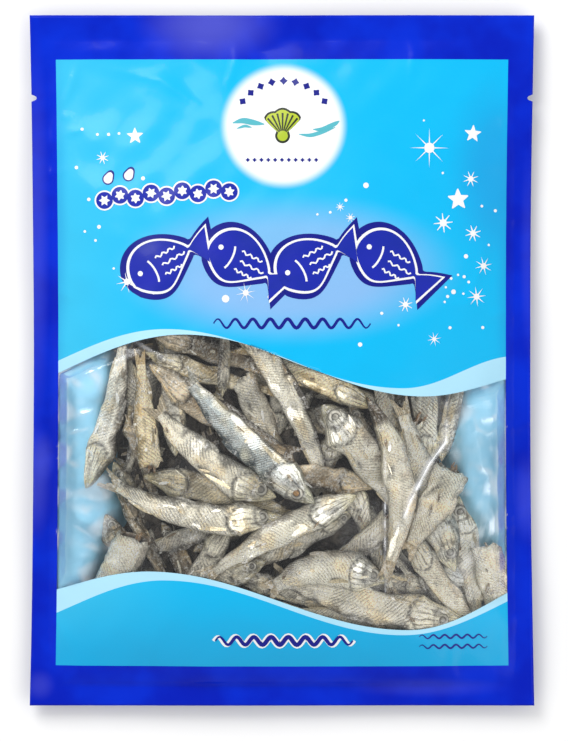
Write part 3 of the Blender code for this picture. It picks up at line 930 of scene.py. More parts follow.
class Fish:
    # One dried fish on its bent spine, with its own seeded wrinkles.

    def __init__(self, place, ceiling, number, stations, sides, snug=0.85, steepest=0.42):
        snout, tail, bow, depth, roll, side, tone, missing = place
        self.rng = random.Random(fishLook["seed"] * 1000 + number)
        self.tones = [np.array(c) for c in fishTones[tone][:4]]
        self.scales, self.dense = fishTones[tone][4:]
        self.tone, self.missing, self.number = tone, missing, number
        self.depth = depth * mm
        self.roll = math.radians(roll) * self.rng.choice((-1, 1))
        self.side = side
        shares = np.linspace(0, 1, 26)
        plan = bend(snout, tail, bow, shares)
        back, belly = (formAt(np.minimum(shares, 0.9), k) for k in (1, 2))
        big = (back + belly) / 2 * self.depth / 2
        small = self.thickness(np.minimum(shares, 0.9))
        c, s = abs(math.cos(self.roll)), abs(math.sin(self.roll))
        reach, half = np.hypot(big * c, small * s), np.hypot(small * c, big * s)
        half = np.where(shares > 0.9, 0.6 * mm, half)
        heights = ceiling.hang(plan, reach, half, snug, steepest)
        ceiling.lower(plan, heights, reach, half)
        self.start = fishLook["headless"] if missing in ("head", "both") else 0.0
        self.end = fishLook["tailless"] if missing == "both" else 1.0
        self.shares, self.plan, self.heights = shares, plan, heights
        self.length = float(np.hypot(*np.diff(plan, axis=0).T).sum())
        self.torn = self.rng.random() < fishLook["burst"]
        self.tornAt = (self.rng.uniform(0.32, 0.38), self.rng.uniform(0.46, 0.62))
        self.stations, self.sides = stations, sides
        # painted light: the fish right under the film are painted brighter and the deeper ones darker
        self.paintedLight = fishLook["paintedLight"][0 if number < fishLook["brightest"] else 1]

    def thickness(self, t):
        # Half the thickness of the body at each share of the length.
        return formAt(t, 3) * self.depth / 2 * fishLook["flatness"]

    def spine(self, t):
        t = np.clip(np.atleast_1d(t), 0, 1)
        x = np.interp(t, self.shares, self.plan[:, 0])
        y = np.interp(t, self.shares, self.plan[:, 1])
        z = np.interp(t, self.shares, self.heights)
        return np.stack([drawnIn(x, y), y, z], axis=1)

    def frameAt(self, t):
        # Middle, direction, the way to the back and the way up, at each share of the length.
        t = np.atleast_1d(t)
        ahead, behind = self.spine(t + 0.03), self.spine(t - 0.03)
        along = ahead - behind
        along /= np.linalg.norm(along, axis=1)[:, None]
        across = np.stack([-along[:, 1], along[:, 0], np.zeros(len(along))], axis=1) * self.side
        across /= np.linalg.norm(across, axis=1)[:, None]
        up = np.cross(along, across) * self.side
        back = across * math.cos(self.roll) + up * math.sin(self.roll)
        rise = up * math.cos(self.roll) - across * math.sin(self.roll)
        return self.spine(t), along, back, rise

    def wave(self, a, b, pitch, seed):
        return waviness(a, b, pitch, self.number * 37 + seed, 7)

    def form(self, t, c, s):
        # Half sizes of the section and the swell of its surface at each station and side.
        deep = np.where(c > 0, formAt(t, 1), formAt(t, 2)) * self.depth / 2
        u = t * self.length
        rough = 1.8 if self.tone == "brown" else 1.0
        rim = np.sign(c) * 30 * mm
        ragged = 0.065 * self.wave(u, rim, 17 * mm, 11) + 0.015 * self.wave(u, rim, 5 * mm, 13)
        deep = deep * (1 + ragged * rough)
        if self.tone == "shrunken":
            deep = deep * (0.66 + 0.48 * smooth(t, 0.20, 0.40))
        thick = self.thickness(t)
        inBody = smooth(t, 0.27, 0.34) * (1 - smooth(t, 0.80, 0.9))
        plate = smooth(t, 0.170, 0.215) * (1 - smooth(t, plateEnd(c) - 0.010, plateEnd(c)))
        cheek = smooth(t, 0.04, 0.07) * (1 - smooth(t, 0.182, 0.192))
        v = c * 8 * mm
        swell = fishRelief["wrinkles"] * rough * self.wave(u, v, 18 * mm, 1) * inBody
        swell = swell + fishRelief["furrows"] * rough * self.wave(u * 0.28, v, 3.6 * mm, 2) * inBody
        swell = swell + fishRelief["grain"] * rough * self.wave(u, v, 4 * mm, 3)
        for groove in ("sideGroove", "bellyGroove"):
            place, width, depth = fishRelief[groove]
            swell = swell - depth * bell(c, place, width) * inBody
        swell = swell - fishRelief["gash"] * self.gash(t, c)
        if self.tone == "shrunken":
            plate, cheek = 0.0 * t, 0.5 * self.wave(u, v, 3 * mm, 4) * (1 - smooth(t, 0.10, 0.20))
        ridges = (1 - smooth(t, 0.25, 0.27)) * np.cos(c * 19 + 9 * t)
        swell = swell + fishRelief["plate"] * plate + fishRelief["cheek"] * cheek
        swell = swell - fishRelief["ridges"] * ridges
        eyeT, eyeC = fishHead["eye"]
        swell = swell - fishRelief["eyeHollow"] * bell(t, eyeT, 0.030) * bell(c, eyeC, 0.34)
        swell = swell - fishRelief["mouth"] * self.mouth(t, c, 0.10)
        return deep, thick, swell * mm * np.clip(s * 1.5, 0, 1) ** 0.5

    def mouth(self, t, c, width):
        # The line of the mouth, from 0 to 1.
        return bell(c, t - fishHead["mouth"], width) * (1 - smooth(t, 0.15, 0.19))

    def gash(self, t, c):
        # Where the belly has burst open, from 0 to 1.
        if not self.torn:
            return np.zeros(np.broadcast(t, c).shape)
        middle = -0.62 + 0.14 * self.wave(t * self.length, 0 * c, 12 * mm, 12)
        first, last = self.tornAt
        ends = smooth(t, first, first + 0.05) * (1 - smooth(t, last - 0.05, last))
        return ends * bell(c, middle, 0.13)

    def surface(self, t, c, s):
        # Points of the skin. c runs from the back at 1 to the belly at -1, and s is up on the shown flank.
        middle, _, back, rise = self.frameAt(t)
        deep, thick, swell = self.form(t[:, None], c, np.abs(s))
        keel = np.sign(s) * np.abs(s) ** fishLook["bluntness"]
        return middle[:, None, :] + spanned(back, c * deep) + spanned(rise, keel * thick + np.sign(s) * swell)

    def colours(self, t, c, s):
        # Back, flank, belly and head, with wear, golden patches and painted shade in grooves and along the
        # rim, painted brighter near the film and darker deeper down. The fourth value is for scales.
        backTone, flankTone, bellyTone, headTone = self.tones
        edge = 0.18 * self.wave(t * self.length, c * 6 * mm, 9 * mm, 5)
        toBack = smooth(c + edge, 0.40, 0.80)[..., None]
        toBelly = smooth(-c + edge, 0.30, 0.75)[..., None]
        colour = flankTone * (1 - toBack) * (1 - toBelly) + backTone * toBack + bellyTone * toBelly
        inHead = (1 - smooth(t, 0.258, 0.276))[..., None]
        streak = 0.92 + 0.20 * self.wave(t * self.length * 0.25, c * 9 * mm, 3.2 * mm, 6)[..., None]
        crown = smooth(c, 0.50, 0.85)[..., None]
        snout = (1 - smooth(t, 0.04, 0.12))[..., None]
        olive = np.clip(snout + 0.5 * smooth(-c, 0.5, 0.8)[..., None], 0, 1) * 0.5
        headColour = headTone * streak * (1 - 0.55 * crown)
        headColour = headColour * (1 - olive) + headColour * np.array((0.88, 0.80, 0.46)) * olive
        if self.tone == "shrunken":
            crust = (1 - smooth(t, 0.12, 0.17))[..., None]
            headColour = headColour * (1 - crust) + np.array((0.10, 0.07, 0.04)) * streak**3 * crust
        plate = bell(t, 0.232, 0.030) * np.exp(-(((c + 0.05) / 0.62) ** 4))
        headColour = headColour * (1.02 + 0.33 * plate[..., None])
        colour = colour * (1 - inHead) + headColour * inHead
        # painted shade: a dark crescent behind the gill plate, darker lines in the side groove, mouth and
        # gill cover's edge, a dark ring round the eye and the burst belly
        dark = fishShade["shrunkenEdge" if self.tone == "shrunken" else "plateEdge"]
        groove = 0.018 if self.tone == "blue" else 0.013
        shade = 1 - dark * bell(t, plateEnd(c) + groove, groove)
        shade = shade * (1 - fishShade["side"] * bell(c, 0.10, 0.08) * smooth(t, 0.28, 0.36))
        shade = shade * (1 - fishShade["mouth"] * self.mouth(t, c, 0.08))
        coverEdge = bell(t, 0.188 - 0.05 * (c + 0.3) ** 2, 0.006) * (c < 0.5)
        shade = shade * (1 - fishShade["gillCover"] * coverEdge)
        if self.missing != "eye":
            eyeT, eyeC = fishHead["eye"]
            socket = np.hypot((t - eyeT) * self.length, (c - eyeC) * self.depth * 0.28)
            socket = bell(socket / (fishHead["socket"] * self.depth), 1.0, 0.22)
            shade = shade * (1 - fishShade["socket"] * socket)
        shade = shade * (1 - fishShade["gash"] * np.clip(self.gash(t, c), 0, 1))
        # painted shade: darker towards the rim where the body turns away
        shade = shade * (1 - fishShade["rim"] * (1 - smooth(np.abs(s), 0.05, 0.60)))
        blotch = 1 + 0.13 * self.wave(t * self.length, c * 8 * mm, 12 * mm, 7)
        gold = smooth(self.wave(t * self.length, c * 8 * mm, 15 * mm, 8), 0.5, 1.6)[..., None] * 0.45
        colour = colour * (1 - gold) + colour * np.array((1.12, 0.92, 0.58)) * gold
        # painted shade and painted light by depth go into the colour here
        colour = colour * (shade * self.paintedLight * np.clip(blotch, 0.5, 1.4))[..., None]
        colour = np.clip(colour / np.maximum(colour.max(axis=-1, keepdims=True), 1.0), 0.01, 1.0)
        scaly = self.scales * smooth(t, 0.26, 0.28) * (1 - smooth(t, 0.86, 0.92))
        scaly = scaly * np.where(s >= 0, 1.0, 0.6)
        return np.concatenate([colour, scaly[..., None]], axis=-1)

    def body(self, shoal):
        # The body as a closed tube, or one that is torn open where its head or tail is missing.
        t = np.unique(np.concatenate([
            np.linspace(self.start, min(self.end, 0.9), self.stations),
            [v for v in np.linspace(0.02, 0.285, 18) if v > self.start],
        ]))
        angle = 2 * math.pi * np.arange(self.sides) / self.sides
        c, s = np.tile(np.cos(angle), (len(t), 1)), np.tile(np.sin(angle), (len(t), 1))
        points = self.surface(t, c, s)
        if self.start > 0:
            self.tear(points, 0, -1)
        if self.end < 0.9:
            self.tear(points, -1, 1)
        skin = self.colours(np.broadcast_to(t[:, None], c.shape), c, s)
        around = np.arccos(np.clip(c, -1, 1)) / math.pi * self.depth / (10 * mm) * 1.5
        along = np.broadcast_to(t[:, None] * self.length / (10 * mm) * self.dense, c.shape)
        maps = np.stack([along + self.number, around], axis=-1)
        faces = ringFaces(len(t), self.sides)
        if self.start == 0:
            faces.append(tuple(range(self.sides))[::-1])
        last = (len(t) - 1) * self.sides
        if self.end >= 0.9:
            faces.append(tuple(last + k for k in range(self.sides)))
        if self.side < 0:
            faces = [face[::-1] for face in faces]
        shoal.add(points, faces, skin.reshape(-1, 4), maps.reshape(-1, 2))
        for torn, row, way in ((self.start > 0, 0, -1), (self.end < 0.9, -1, 1)):
            if torn:
                self.hollow(shoal, points[row], t[row], way)

    def tear(self, points, row, way):
        # Roughens and pinches the broken end of a fish.
        _, along, _, rise = (part[0] for part in self.frameAt([self.start if row == 0 else self.end]))
        rough = np.array([self.rng.uniform(-1.5, 4.0) * self.rng.random() for _ in range(self.sides)])
        turn = 2 * math.pi * np.arange(self.sides) / self.sides
        rough = rough + 1.6 * np.sin(turn * self.rng.choice((1, 2)) + self.number)
        rough = (rough + 0.6 * np.roll(rough, 1)) / 1.6
        for step, pinch in ((0, 0.78), (1, 0.90)):
            ring = points[step if row == 0 else -1 - step]
            centre = ring.mean(axis=0)
            height = (ring - centre) @ rise
            ring -= rise * (height * (1 - pinch) * 1.2)[:, None] + (ring - centre) * (1 - pinch) * 0.3
            ring += along * way * rough[:, None] * mm * (1 - 0.55 * step)

    def hollow(self, shoal, ring, t, way):
        # The inside of a broken end, two rings that sink into the body and a lid, brown flesh painted darker
        # deeper in as shade.
        middle, along, back, rise = (part[0] for part in self.frameAt([t]))
        inner = middle + (ring - middle) * 0.72 - along * way * 1.6 * mm
        deep = middle + (ring - middle) * 0.40 - along * way * 3.4 * mm
        count = self.sides
        faces = ringFaces(3, count)
        faces.append(tuple(2 * count + k for k in range(count)))
        fleshAndShade = np.repeat(fishLook["fleshAndShade"], count, axis=0)
        shoal.add(np.concatenate([ring, inner, deep]), faces, fleshAndShade, (0.0, 0.0))
        for _ in range(self.rng.choice((2, 3, 4))):
            start = middle - along * way * 2 * mm
            start = start + back * self.rng.uniform(-2.2, 2.2) * mm + rise * self.rng.uniform(-0.4, 0.6) * mm
            reach = along * way * self.rng.uniform(4, 8) * mm + back * self.rng.uniform(-1.8, 1.8) * mm
            self.strand(shoal, start, reach, back, rise)

    def strand(self, shoal, start, reach, back, rise):
        # A twisted string of brown flesh, with four sides.
        points = []
        for k, half in enumerate((0.9, 0.7, 0.8, 0.45)):
            centre = start + reach * k / 3 + back * self.rng.uniform(-0.4, 0.4) * mm
            points += [centre + way * half * mm for way in (back, rise, -back, -rise)]
        faces = ringFaces(4, 4)
        faces.append((12, 13, 14, 15))
        shade = self.rng.uniform(0.7, 1.3)
        shoal.add(points, faces, (0.34 * shade, 0.21 * shade, 0.11 * shade, 0.0), (0.0, 0.0))

    def tailFin(self, shoal, fine):
        # A thin forked fan with ragged rays.
        rows, columns = (9, 15) if fine else (4, 7)
        a, b = np.meshgrid(np.linspace(0, 1, rows), np.linspace(-1, 1, columns), indexing="ij")
        ragged = np.array([self.rng.uniform(-0.10, 0.04) for _ in range(columns)])
        length = 0.145 * (0.50 + 0.50 * np.abs(b) ** 1.1 + ragged[None, :])
        t = 0.872 + a * length
        opened = self.rng.uniform(0.42, 0.80)
        halfSpan = self.depth / 2 * (0.34 + (opened - 0.34) * a**1.1)
        _, _, back, rise = self.frameAt(t[:, columns // 2])
        lift = 0.22 * mm * np.sin(b * 22 + self.number) * a
        lift = lift + 0.5 * mm * self.wave(a * 6 * mm, b * 8 * mm, 14 * mm, 9) * a
        points = self.spine(t.ravel()).reshape(rows, columns, 3)
        points = points + spanned(back, b * halfSpan) + spanned(rise, lift)
        tone = (self.tones[0] + self.tones[1]) / 2 * np.array((0.86, 0.76, 0.60))
        ray = 0.80 + 0.30 * np.sin(b * 22 + self.number)
        shoal.add(points, quads(rows, columns), bare(np.clip(tone * ray[..., None], 0, 0.9)), (0.0, 0.0))

    def strip(self, shoal, tStart, cStart, tEnd, cEnd, width, tone, lift=0.5, taper=0.25):
        # A thin fin or strand that lies on the shown flank.
        rows, columns = 9, 4
        share = np.linspace(0, 1, rows)
        t = tStart + (tEnd - tStart) * share
        cMiddle = cStart + (cEnd - cStart) * share
        middle, _, back, rise = self.frameAt(t)
        deep = np.where(cMiddle > 0, formAt(t, 1), formAt(t, 2)) * self.depth / 2
        flank = np.sqrt(np.clip(1 - np.clip(cMiddle, -1, 1) ** 2, 0.02, 1)) ** fishLook["bluntness"]
        over = flank * self.thickness(t) + lift * mm
        half = width / 2 * mm * (taper + (1 - taper) * np.sin(math.pi * np.clip(share * 0.8 + 0.12, 0, 1)))
        b = np.linspace(-1, 1, columns)
        crown = 0.25 * mm * (1 - b**2)
        middle = middle + back * (cMiddle * deep)[:, None]
        points = middle[:, None, :] + spanned(back, half[:, None] * b) + spanned(rise, over[:, None] + crown)
        ray = 0.82 + 0.3 * np.sin(b * 9 + self.number)
        colour = np.clip(np.array(tone) * np.tile(ray, (rows, 1))[..., None], 0, 0.95)
        shoal.add(points, quads(rows, columns), bare(colour), (0.0, 0.0))

    def eye(self, shoal, fine):
        # A dried eye on the shown flank: cloudy lens, dark groove and silvery ring.
        t, c = fishHead["eye"]
        middle, along, back, rise = (part[0] for part in self.frameAt([t]))
        deep = formAt(t, 1) * self.depth / 2
        centre = middle + back * c * deep + rise * (self.thickness(t) - 0.25 * mm)
        radius = fishHead["eyeRadius"] * min(self.depth, 17 * mm) * self.rng.uniform(0.92, 1.08)
        tint = fishHead["amberEye"] if self.tone == "blue" else fishHead["cloudyEye"]
        cloud = self.rng.uniform(0.3, 0.85)
        # share of the radius, height in millimetres and brightness
        rings = (
            (0.0, 0.50, cloud),
            (0.28, 0.46, cloud * 0.9),
            (0.44, 0.30, cloud * 0.6),
            (0.54, 0.10, 0.06),
            (0.66, 0.22, 0.55),
            (0.82, 0.32, 0.80),
            (0.98, 0.05, 0.40),
            (1.14, -0.35, 0.10),
        )
        count = 16 if fine else 8
        points, skin = [], []
        for share, height, bright in rings:
            colour = tint if share < 0.5 else fishHead["cloudyEye"]
            for k in range(count):
                turn = 2 * math.pi * k / count
                aside = along * math.cos(turn) + back * math.sin(turn) * 0.92
                points.append(centre + aside * radius * share + rise * height * mm * 1.3)
                skin.append((*(bright * part for part in colour), 0.0))
        shoal.add(points, ringFaces(len(rings), count), np.array(skin), (0.0, 0.0), 1)

    def jaw(self, shoal):
        # The slim lower jaw, hanging open from its joint behind the eye.
        rows, columns = 8, 6
        gape = math.radians(self.rng.uniform(-12, 8))
        share = np.linspace(0, 1, rows)
        joint, length = fishHead["jaw"]
        middle, along, back, rise = (part[0] for part in self.frameAt([joint]))
        root = middle - back * 0.62 * formAt(joint, 2) * self.depth / 2
        forward = -along * math.cos(gape) - back * math.sin(gape)
        points = []
        for a in share:
            half = (0.9 - 0.65 * a) * mm * self.depth / (13 * mm)
            for k in range(columns):
                turn = 2 * math.pi * k / columns
                aside = back * math.cos(turn) * half * 1.1 + rise * (math.sin(turn) * half * 1.5 + 0.3 * mm)
                points.append(root + forward * length * self.length * a + aside)
        faces = ringFaces(rows, columns)
        faces.append(tuple((rows - 1) * columns + k for k in range(columns)))
        shoal.add(points, faces, (*np.clip(self.tones[3] * 0.62, 0, 0.9), 0.0), (0.0, 0.0))

    def flakes(self, shoal, count):
        # Small bits of loose skin and dry crust that curl up from the shown flank.
        for _ in range(count):
            t = self.rng.uniform(max(0.08, self.start + 0.03), 0.82)
            c = self.rng.uniform(-0.8, 0.8)
            middle, along, back, rise = (part[0] for part in self.frameAt([t]))
            deep = formAt(t, 1 if c > 0 else 2) * self.depth / 2
            over = math.sqrt(1 - c * c) ** fishLook["bluntness"] * self.thickness(t)
            centre = middle + back * c * deep + rise * (over + 0.25 * mm)
            slope = -c / math.sqrt(1 - c * c) * fishLook["flatness"]
            across = back + rise * slope
            across /= np.linalg.norm(across)
            turn = self.rng.uniform(-0.5, 0.5)
            long, wide = self.rng.uniform(1.2, 4.2) * mm, self.rng.uniform(0.4, 1.1) * mm
            way = along * math.cos(turn) + across * math.sin(turn)
            side = across * math.cos(turn) - along * math.sin(turn)
            points = [centre]
            for k in range(7):
                angle = 2 * math.pi * k / 7
                reach = self.rng.uniform(0.65, 1.15)
                curl = self.rng.uniform(-0.1, 0.5) * mm
                aside = way * long * math.cos(angle) + side * wide * math.sin(angle)
                points.append(centre + aside * reach + rise * curl)
            tone = self.rng.choice(fishLook["flakes"])
            faces = [(0, 1 + k, 1 + (k + 1) % 7) for k in range(7)]
            shoal.add(points, faces, (*tone, 0.0), (0.0, 0.0))

    def build(self, shoal, fine=True):
        # All parts of the fish. The ones in the depth go without fins on the flank and jaws.
        self.body(shoal)
        self.flakes(shoal, 4 if fine else 3)
        if self.end > 0.9:
            self.tailFin(shoal, fine)
        pale = self.tones[2] * np.array((0.74, 0.66, 0.50))
        if self.start == 0 and self.missing != "eye":
            self.eye(shoal, fine)
            if fine:
                self.jaw(shoal)
                self.strip(shoal, 0.285, -0.62, 0.285 + self.rng.uniform(0.12, 0.2), -0.80, 2.0, pale)
        if fine:
            self.strip(shoal, 0.46, 0.80, 0.58, 1.02, 2.6, self.tones[0] * 1.6, 0.15)
            self.strip(shoal, 0.68, -0.96, 0.82, -1.0, 1.8, pale * 0.8, 0.1)


def layFish():
    # Hangs the fish that show under the film, then loose ones below them.
    ceiling = Ceiling()
    front, under = Shoal(), Shoal()
    for number, place in enumerate(frontFish):
        fine = number < fishLook["finest"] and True
        mesh = fishLook["fineMesh" if fine else "plainMesh"]
        Fish(place, ceiling, number, *mesh).build(front)
    shown = ceiling.top.copy()
    rng = random.Random(fishLook["seed"])
    ceiling.free = np.minimum(ceiling.free, ceiling.film - 2.5 * mm)
    wide, high = fishLook["underArea"]
    laid = 0
    while laid < fishLook["under"]:
        x, y = rng.uniform(*wide), rng.uniform(*high)
        turn, reach = rng.uniform(0, 2 * math.pi), rng.uniform(34, 44)
        dx, dy = reach * math.cos(turn), reach * math.sin(turn)
        ends = ((x - dx, y - dy), (x + dx, y + dy))
        if not all(inHeap(x + k * dx, y + k * dy) for k in (-1, -0.5, 0, 0.5, 1)):
            continue
        tone = rng.choice(fishLook["underTones"])
        bow, depth, roll = rng.uniform(-6, 6), rng.uniform(11, 14.5), rng.uniform(0, 55)
        place = (*ends, bow, depth, roll, rng.choice((-1, 1)), tone, "")
        Fish(place, ceiling, 100 + laid, *fishLook["underMesh"], 0.45, 0.65).build(under, False)
        laid += 1
    return ceiling, shown, front, under


def inHeap(x, y):
    # Whether a place in millimetres lies well inside the heap's edges and under the film.
    if not -140 < y < 30:
        return False
    left, right = heapReach("left", y * mm) / mm, heapReach("right", y * mm) / mm
    return left + 5 < x < right - 5


# The film

film = {
    "printStep": 1.45 * mm,
    "windowStep": 0.85 * mm,
    "backStep": 2.5 * mm,
    "notchStep": 0.4 * mm,
    "tuck": 0.06 * mm,  # the clear film lies this far below the print's edge
    "underPrint": 0.6 * mm,  # and reaches this far beyond it
    "sag": 1.9 * mm,
    "overFish": 0.35 * mm,
    "steepest": 0.16 * mm,  # how far it falls in each millimetre beside a fish
}


def neighbours(grid):
    # The grid's values one cell to each side.
    padded = np.pad(grid, 1, mode="edge")
    return [padded[:-2, 1:-1], padded[2:, 1:-1], padded[1:-1, :-2], padded[1:-1, 2:]]


def drape(ceiling, shown):
    # Height of the clear film over the fish, on the ceiling's grid: it sags where nothing holds it up.
    held = np.maximum(ceiling.film - film["sag"], shown + film["overFish"])
    for _ in range(40):
        held = np.maximum(held, np.maximum.reduce(neighbours(held)) - film["steepest"])
    for _ in range(5):
        held = np.maximum((sum(neighbours(held)) + 4 * held) / 8, held - 0.03 * mm)
    return held - ceiling.film


def sample(ceiling, values, x, y):
    # Bilinear value of a ceiling grid at each point.
    i = np.clip((x - ceiling.xs[0]) / ceiling.cell, 0, len(ceiling.xs) - 1.001)
    j = np.clip((y - ceiling.ys[0]) / ceiling.cell, 0, len(ceiling.ys) - 1.001)
    i0, j0 = i.astype(int), j.astype(int)
    a, b = i - i0, j - j0
    low = values[i0, j0] * (1 - a) + values[i0 + 1, j0] * a
    high = values[i0, j0 + 1] * (1 - a) + values[i0 + 1, j0 + 1] * a
    return low * (1 - b) + high * b


def windowShare(x, y):
    # 0 at the edges of the clear window and 1 well inside it.
    edge = pouch["width"] / 2 - pouch["sideBorder"]
    inward = np.minimum(waveY("windowTop", x) - y, y - waveY("windowBottom", x))
    return smooth(np.minimum(inward, edge - np.abs(x)), 0.0, 7 * mm)


def printedFront(materials):
    # The printed front with its border, panels and bands, open at the window.
    half, tall = pouch["width"] / 2, pouch["height"] / 2
    border = half - pouch["sideBorder"]
    seal = half - pouch["sideSeal"]
    xs = between([-half, -seal, -border, border, seal, half], film["printStep"])
    notch = [pouch["notchY"] + k * pouch["notchRadius"] for k in (-1.2, 1.2)]
    curves = [
        level(-tall),
        level(-tall + pouch["bottomSeal"]),
        level(-tall + pouch["bottomBorder"]),
        curve("lowerPanel"),
        curve("windowBottom"),
        curve("windowTop"),
        curve("upperPanel"),
        level(0.100),
        level(notch[0]),
        level(notch[1]),
        level(tall - pouch["topBorder"]),
        level(tall - pouch["topSeal"]),
        level(tall),
    ]
    counts = (7, 7, 20, 5, 78, 5, 68, 19, 9, 12, 7, 8)  # rows of faces between them
    y, owner = bandRows(xs, curves, counts)
    x = notchX(np.repeat(xs[:, None], y.shape[1], axis=1), y)
    points = filmPoints(x, y, baseZ(x, y))
    faces, slots = [], []
    high = y.shape[1]
    for i in range(len(xs) - 1):
        inner = -border - 1e-6 < xs[i] < border - 1e-6
        for j, band in enumerate(owner):
            if inner and band == 4:
                continue
            corner = i * high + j
            faces.append((corner, corner + high, corner + high + 1, corner + 1))
            slots.append(0 if not inner or band in (0, 1, 10, 11) else 2 if band in (3, 5) else 1)
    # the welded edge has some thickness
    wide = len(xs)
    loop = [(i, 0) for i in range(wide)] + [(wide - 1, j) for j in range(1, high)]
    loop += [(i, high - 1) for i in range(wide - 2, -1, -1)] + [(0, j) for j in range(high - 2, 0, -1)]
    rim = [points[i * high + j] - np.array((0, 0, 0.5 * mm)) for i, j in loop]
    start = len(points)
    for k, (i, j) in enumerate(loop):
        following = (k + 1) % len(loop)
        ni, nj = loop[following]
        faces.append((i * high + j, start + k, start + following, ni * high + nj))
        slots.append(0)
    used = np.zeros(start + len(rim), dtype=bool)
    used[np.concatenate([np.array(face) for face in faces])] = True
    renumber = np.cumsum(used) - 1
    faces = [tuple(renumber[list(face)]) for face in faces]
    return meshObject("printedFront", np.concatenate([points, rim])[used], faces, materials, slots)


def windowFilm(ceiling, sag, material):
    # The clear film over the fish. Its attribute tells the material where to paint white glints along the
    # creases and white glare on the strips beside the heap.
    beyond = film["underPrint"]
    edge = pouch["width"] / 2 - pouch["sideBorder"] + beyond
    xs = between([-edge, edge], film["windowStep"])
    rows = int(0.125 / film["windowStep"])
    y, _ = bandRows(xs, [curve("windowBottom", -beyond), curve("windowTop", beyond)], (rows,))
    x = np.repeat(xs[:, None], y.shape[1], axis=1)
    share = windowShare(x, y)
    z = baseZ(x, y) - film["tuck"] + share * sample(ceiling, sag, x, y)
    z = z + smooth(share, 0, 0.3) * creaseZ(x, y, "window")
    made = meshObject("windowFilm", filmPoints(x, y, z), quads(len(xs), y.shape[1]), [material])
    # painted glints: white lines along the creases, each as white as its shine
    paintedGlint = np.zeros(x.shape)
    patchy = 0.75 + 0.35 * waviness(x, y, 9 * mm, 31)
    for line, _, width, shine in creases["window"]:
        far, place = lineDistance(x, y, line)
        ends = np.sin(np.pi * np.clip(place, 0.03, 0.97)) ** 0.4
        sharp = bell(far, 0.0, 0.62 * width * mm)
        paintedGlint = np.maximum(paintedGlint, shine * ends * np.clip(patchy, 0.2, 1.2) * sharp)
    # painted glare: soft white patches on the clear strips beside the heap
    beside = np.minimum(x - heapReach("left", y), heapReach("right", y) - x)
    cloud = 0.42 * smooth(waviness(x * 0.7, y, 20 * mm, 61), 0.1, 1.7)
    cloud = cloud + 0.10 * smooth(waviness(x, y, 7 * mm, 62), 0, 2)
    paintedGlint = np.maximum(paintedGlint, cloud * (1 - smooth(beside, -3 * mm, 5 * mm)))
    values = made.data.attributes.new("paintedGlint", "FLOAT", "POINT")
    values.data.foreach_set("value", np.clip(paintedGlint, 0, 1).ravel().astype(np.float32))
    return made


def backFilm(materials):
    # The back, plain blue inside a blue border.
    half, tall = pouch["width"] / 2, pouch["height"] / 2
    border = half - pouch["sideBorder"]
    xs = between([-half, -border, border, half], film["backStep"])
    notch = [pouch["notchY"] + k * pouch["notchRadius"] for k in (-1.2, 1.2)]
    low, high = -tall + pouch["bottomBorder"], tall - pouch["topBorder"]
    ys = np.concatenate([
        between([-tall, low, notch[0]], film["backStep"]),
        between(notch, film["notchStep"])[1:],
        between([notch[1], high, tall], film["backStep"])[1:],
    ])
    x, y = np.meshgrid(xs, ys, indexing="ij")
    x = notchX(x, y)
    points = filmPoints(x, y, backZ(x, y))
    faces = quads(len(xs), len(ys))[:, ::-1]
    centre = points[faces].mean(axis=1)
    edge = (np.abs(centre[:, 0]) > border - 1 * mm) | (centre[:, 1] < low) | (centre[:, 1] > high)
    return meshObject("backFilm", points, faces, materials, np.where(edge, 0, 1))


def backLining(material):
    # The inner face of the back film, which shows where no fish lie.
    edge = pouch["width"] / 2 - pouch["sideSeal"] - 0.5 * mm
    xs = between([-edge, edge], 2.2 * mm)
    y, _ = bandRows(xs, [curve("windowBottom", -8 * mm), curve("windowTop", 8 * mm)], (56,))
    x = np.repeat(xs[:, None], y.shape[1], axis=1)
    room = np.maximum(baseZ(x, y) - backZ(x, y), 0)
    beside = np.minimum(x - heapReach("left", y), heapReach("right", y) - x)
    slack = np.minimum(0.80 * room, room - 1.5 * mm) * (1 - smooth(beside, -4 * mm, 10 * mm))
    z = backZ(x, y) + np.minimum(0.35 * room, 0.7 * mm) + np.maximum(slack, 0)
    z = z + 0.5 * mm * waviness(x, y, 17 * mm, 41) * np.clip(room / (6 * mm), 0, 1)
    low = backZ(x, y) + np.minimum(0.2 * room, 0.2 * mm)
    z = np.clip(z, low, np.maximum(low, backZ(x, y) + 0.9 * room - 0.8 * mm))
    return meshObject("backLining", filmPoints(x, y, z), quads(len(xs), y.shape[1]), [material])


def fishBed(material):
    # The heap under the fish that show, dark with painted shade.
    rows, columns = 84, 120
    low, high = -136 * mm, 24 * mm
    y = np.repeat((low + (high - low) * np.linspace(0, 1, rows))[None, :], columns, axis=0)
    jagged = 1.5 * mm * waviness(0 * y, y, 14 * mm, 53)
    left, right = heapReach("left", y) + 5 * mm + jagged, heapReach("right", y) - 5 * mm + jagged
    x = left + (right - left) * np.linspace(0, 1, columns)[:, None]
    inward = np.minimum(np.minimum(x - left, right - x), np.minimum(y - low, high - y))
    lumps = 1.4 * waviness(x, y, 16 * mm, 51) + 1.2 * waviness(x, y, 6 * mm, 52)
    top = baseZ(x, y) - fishLook["deepest"] + lumps * mm
    ground = backZ(x, y) + 0.8 * mm
    z = ground + np.maximum(top - ground, 0.0) * smooth(inward, 0.0, 9 * mm)
    return meshObject("fishBed", filmPoints(x, y, z), quads(columns, rows), [material])


# Printed ornaments: thin sheets laid on the print, each colour a little above the one below

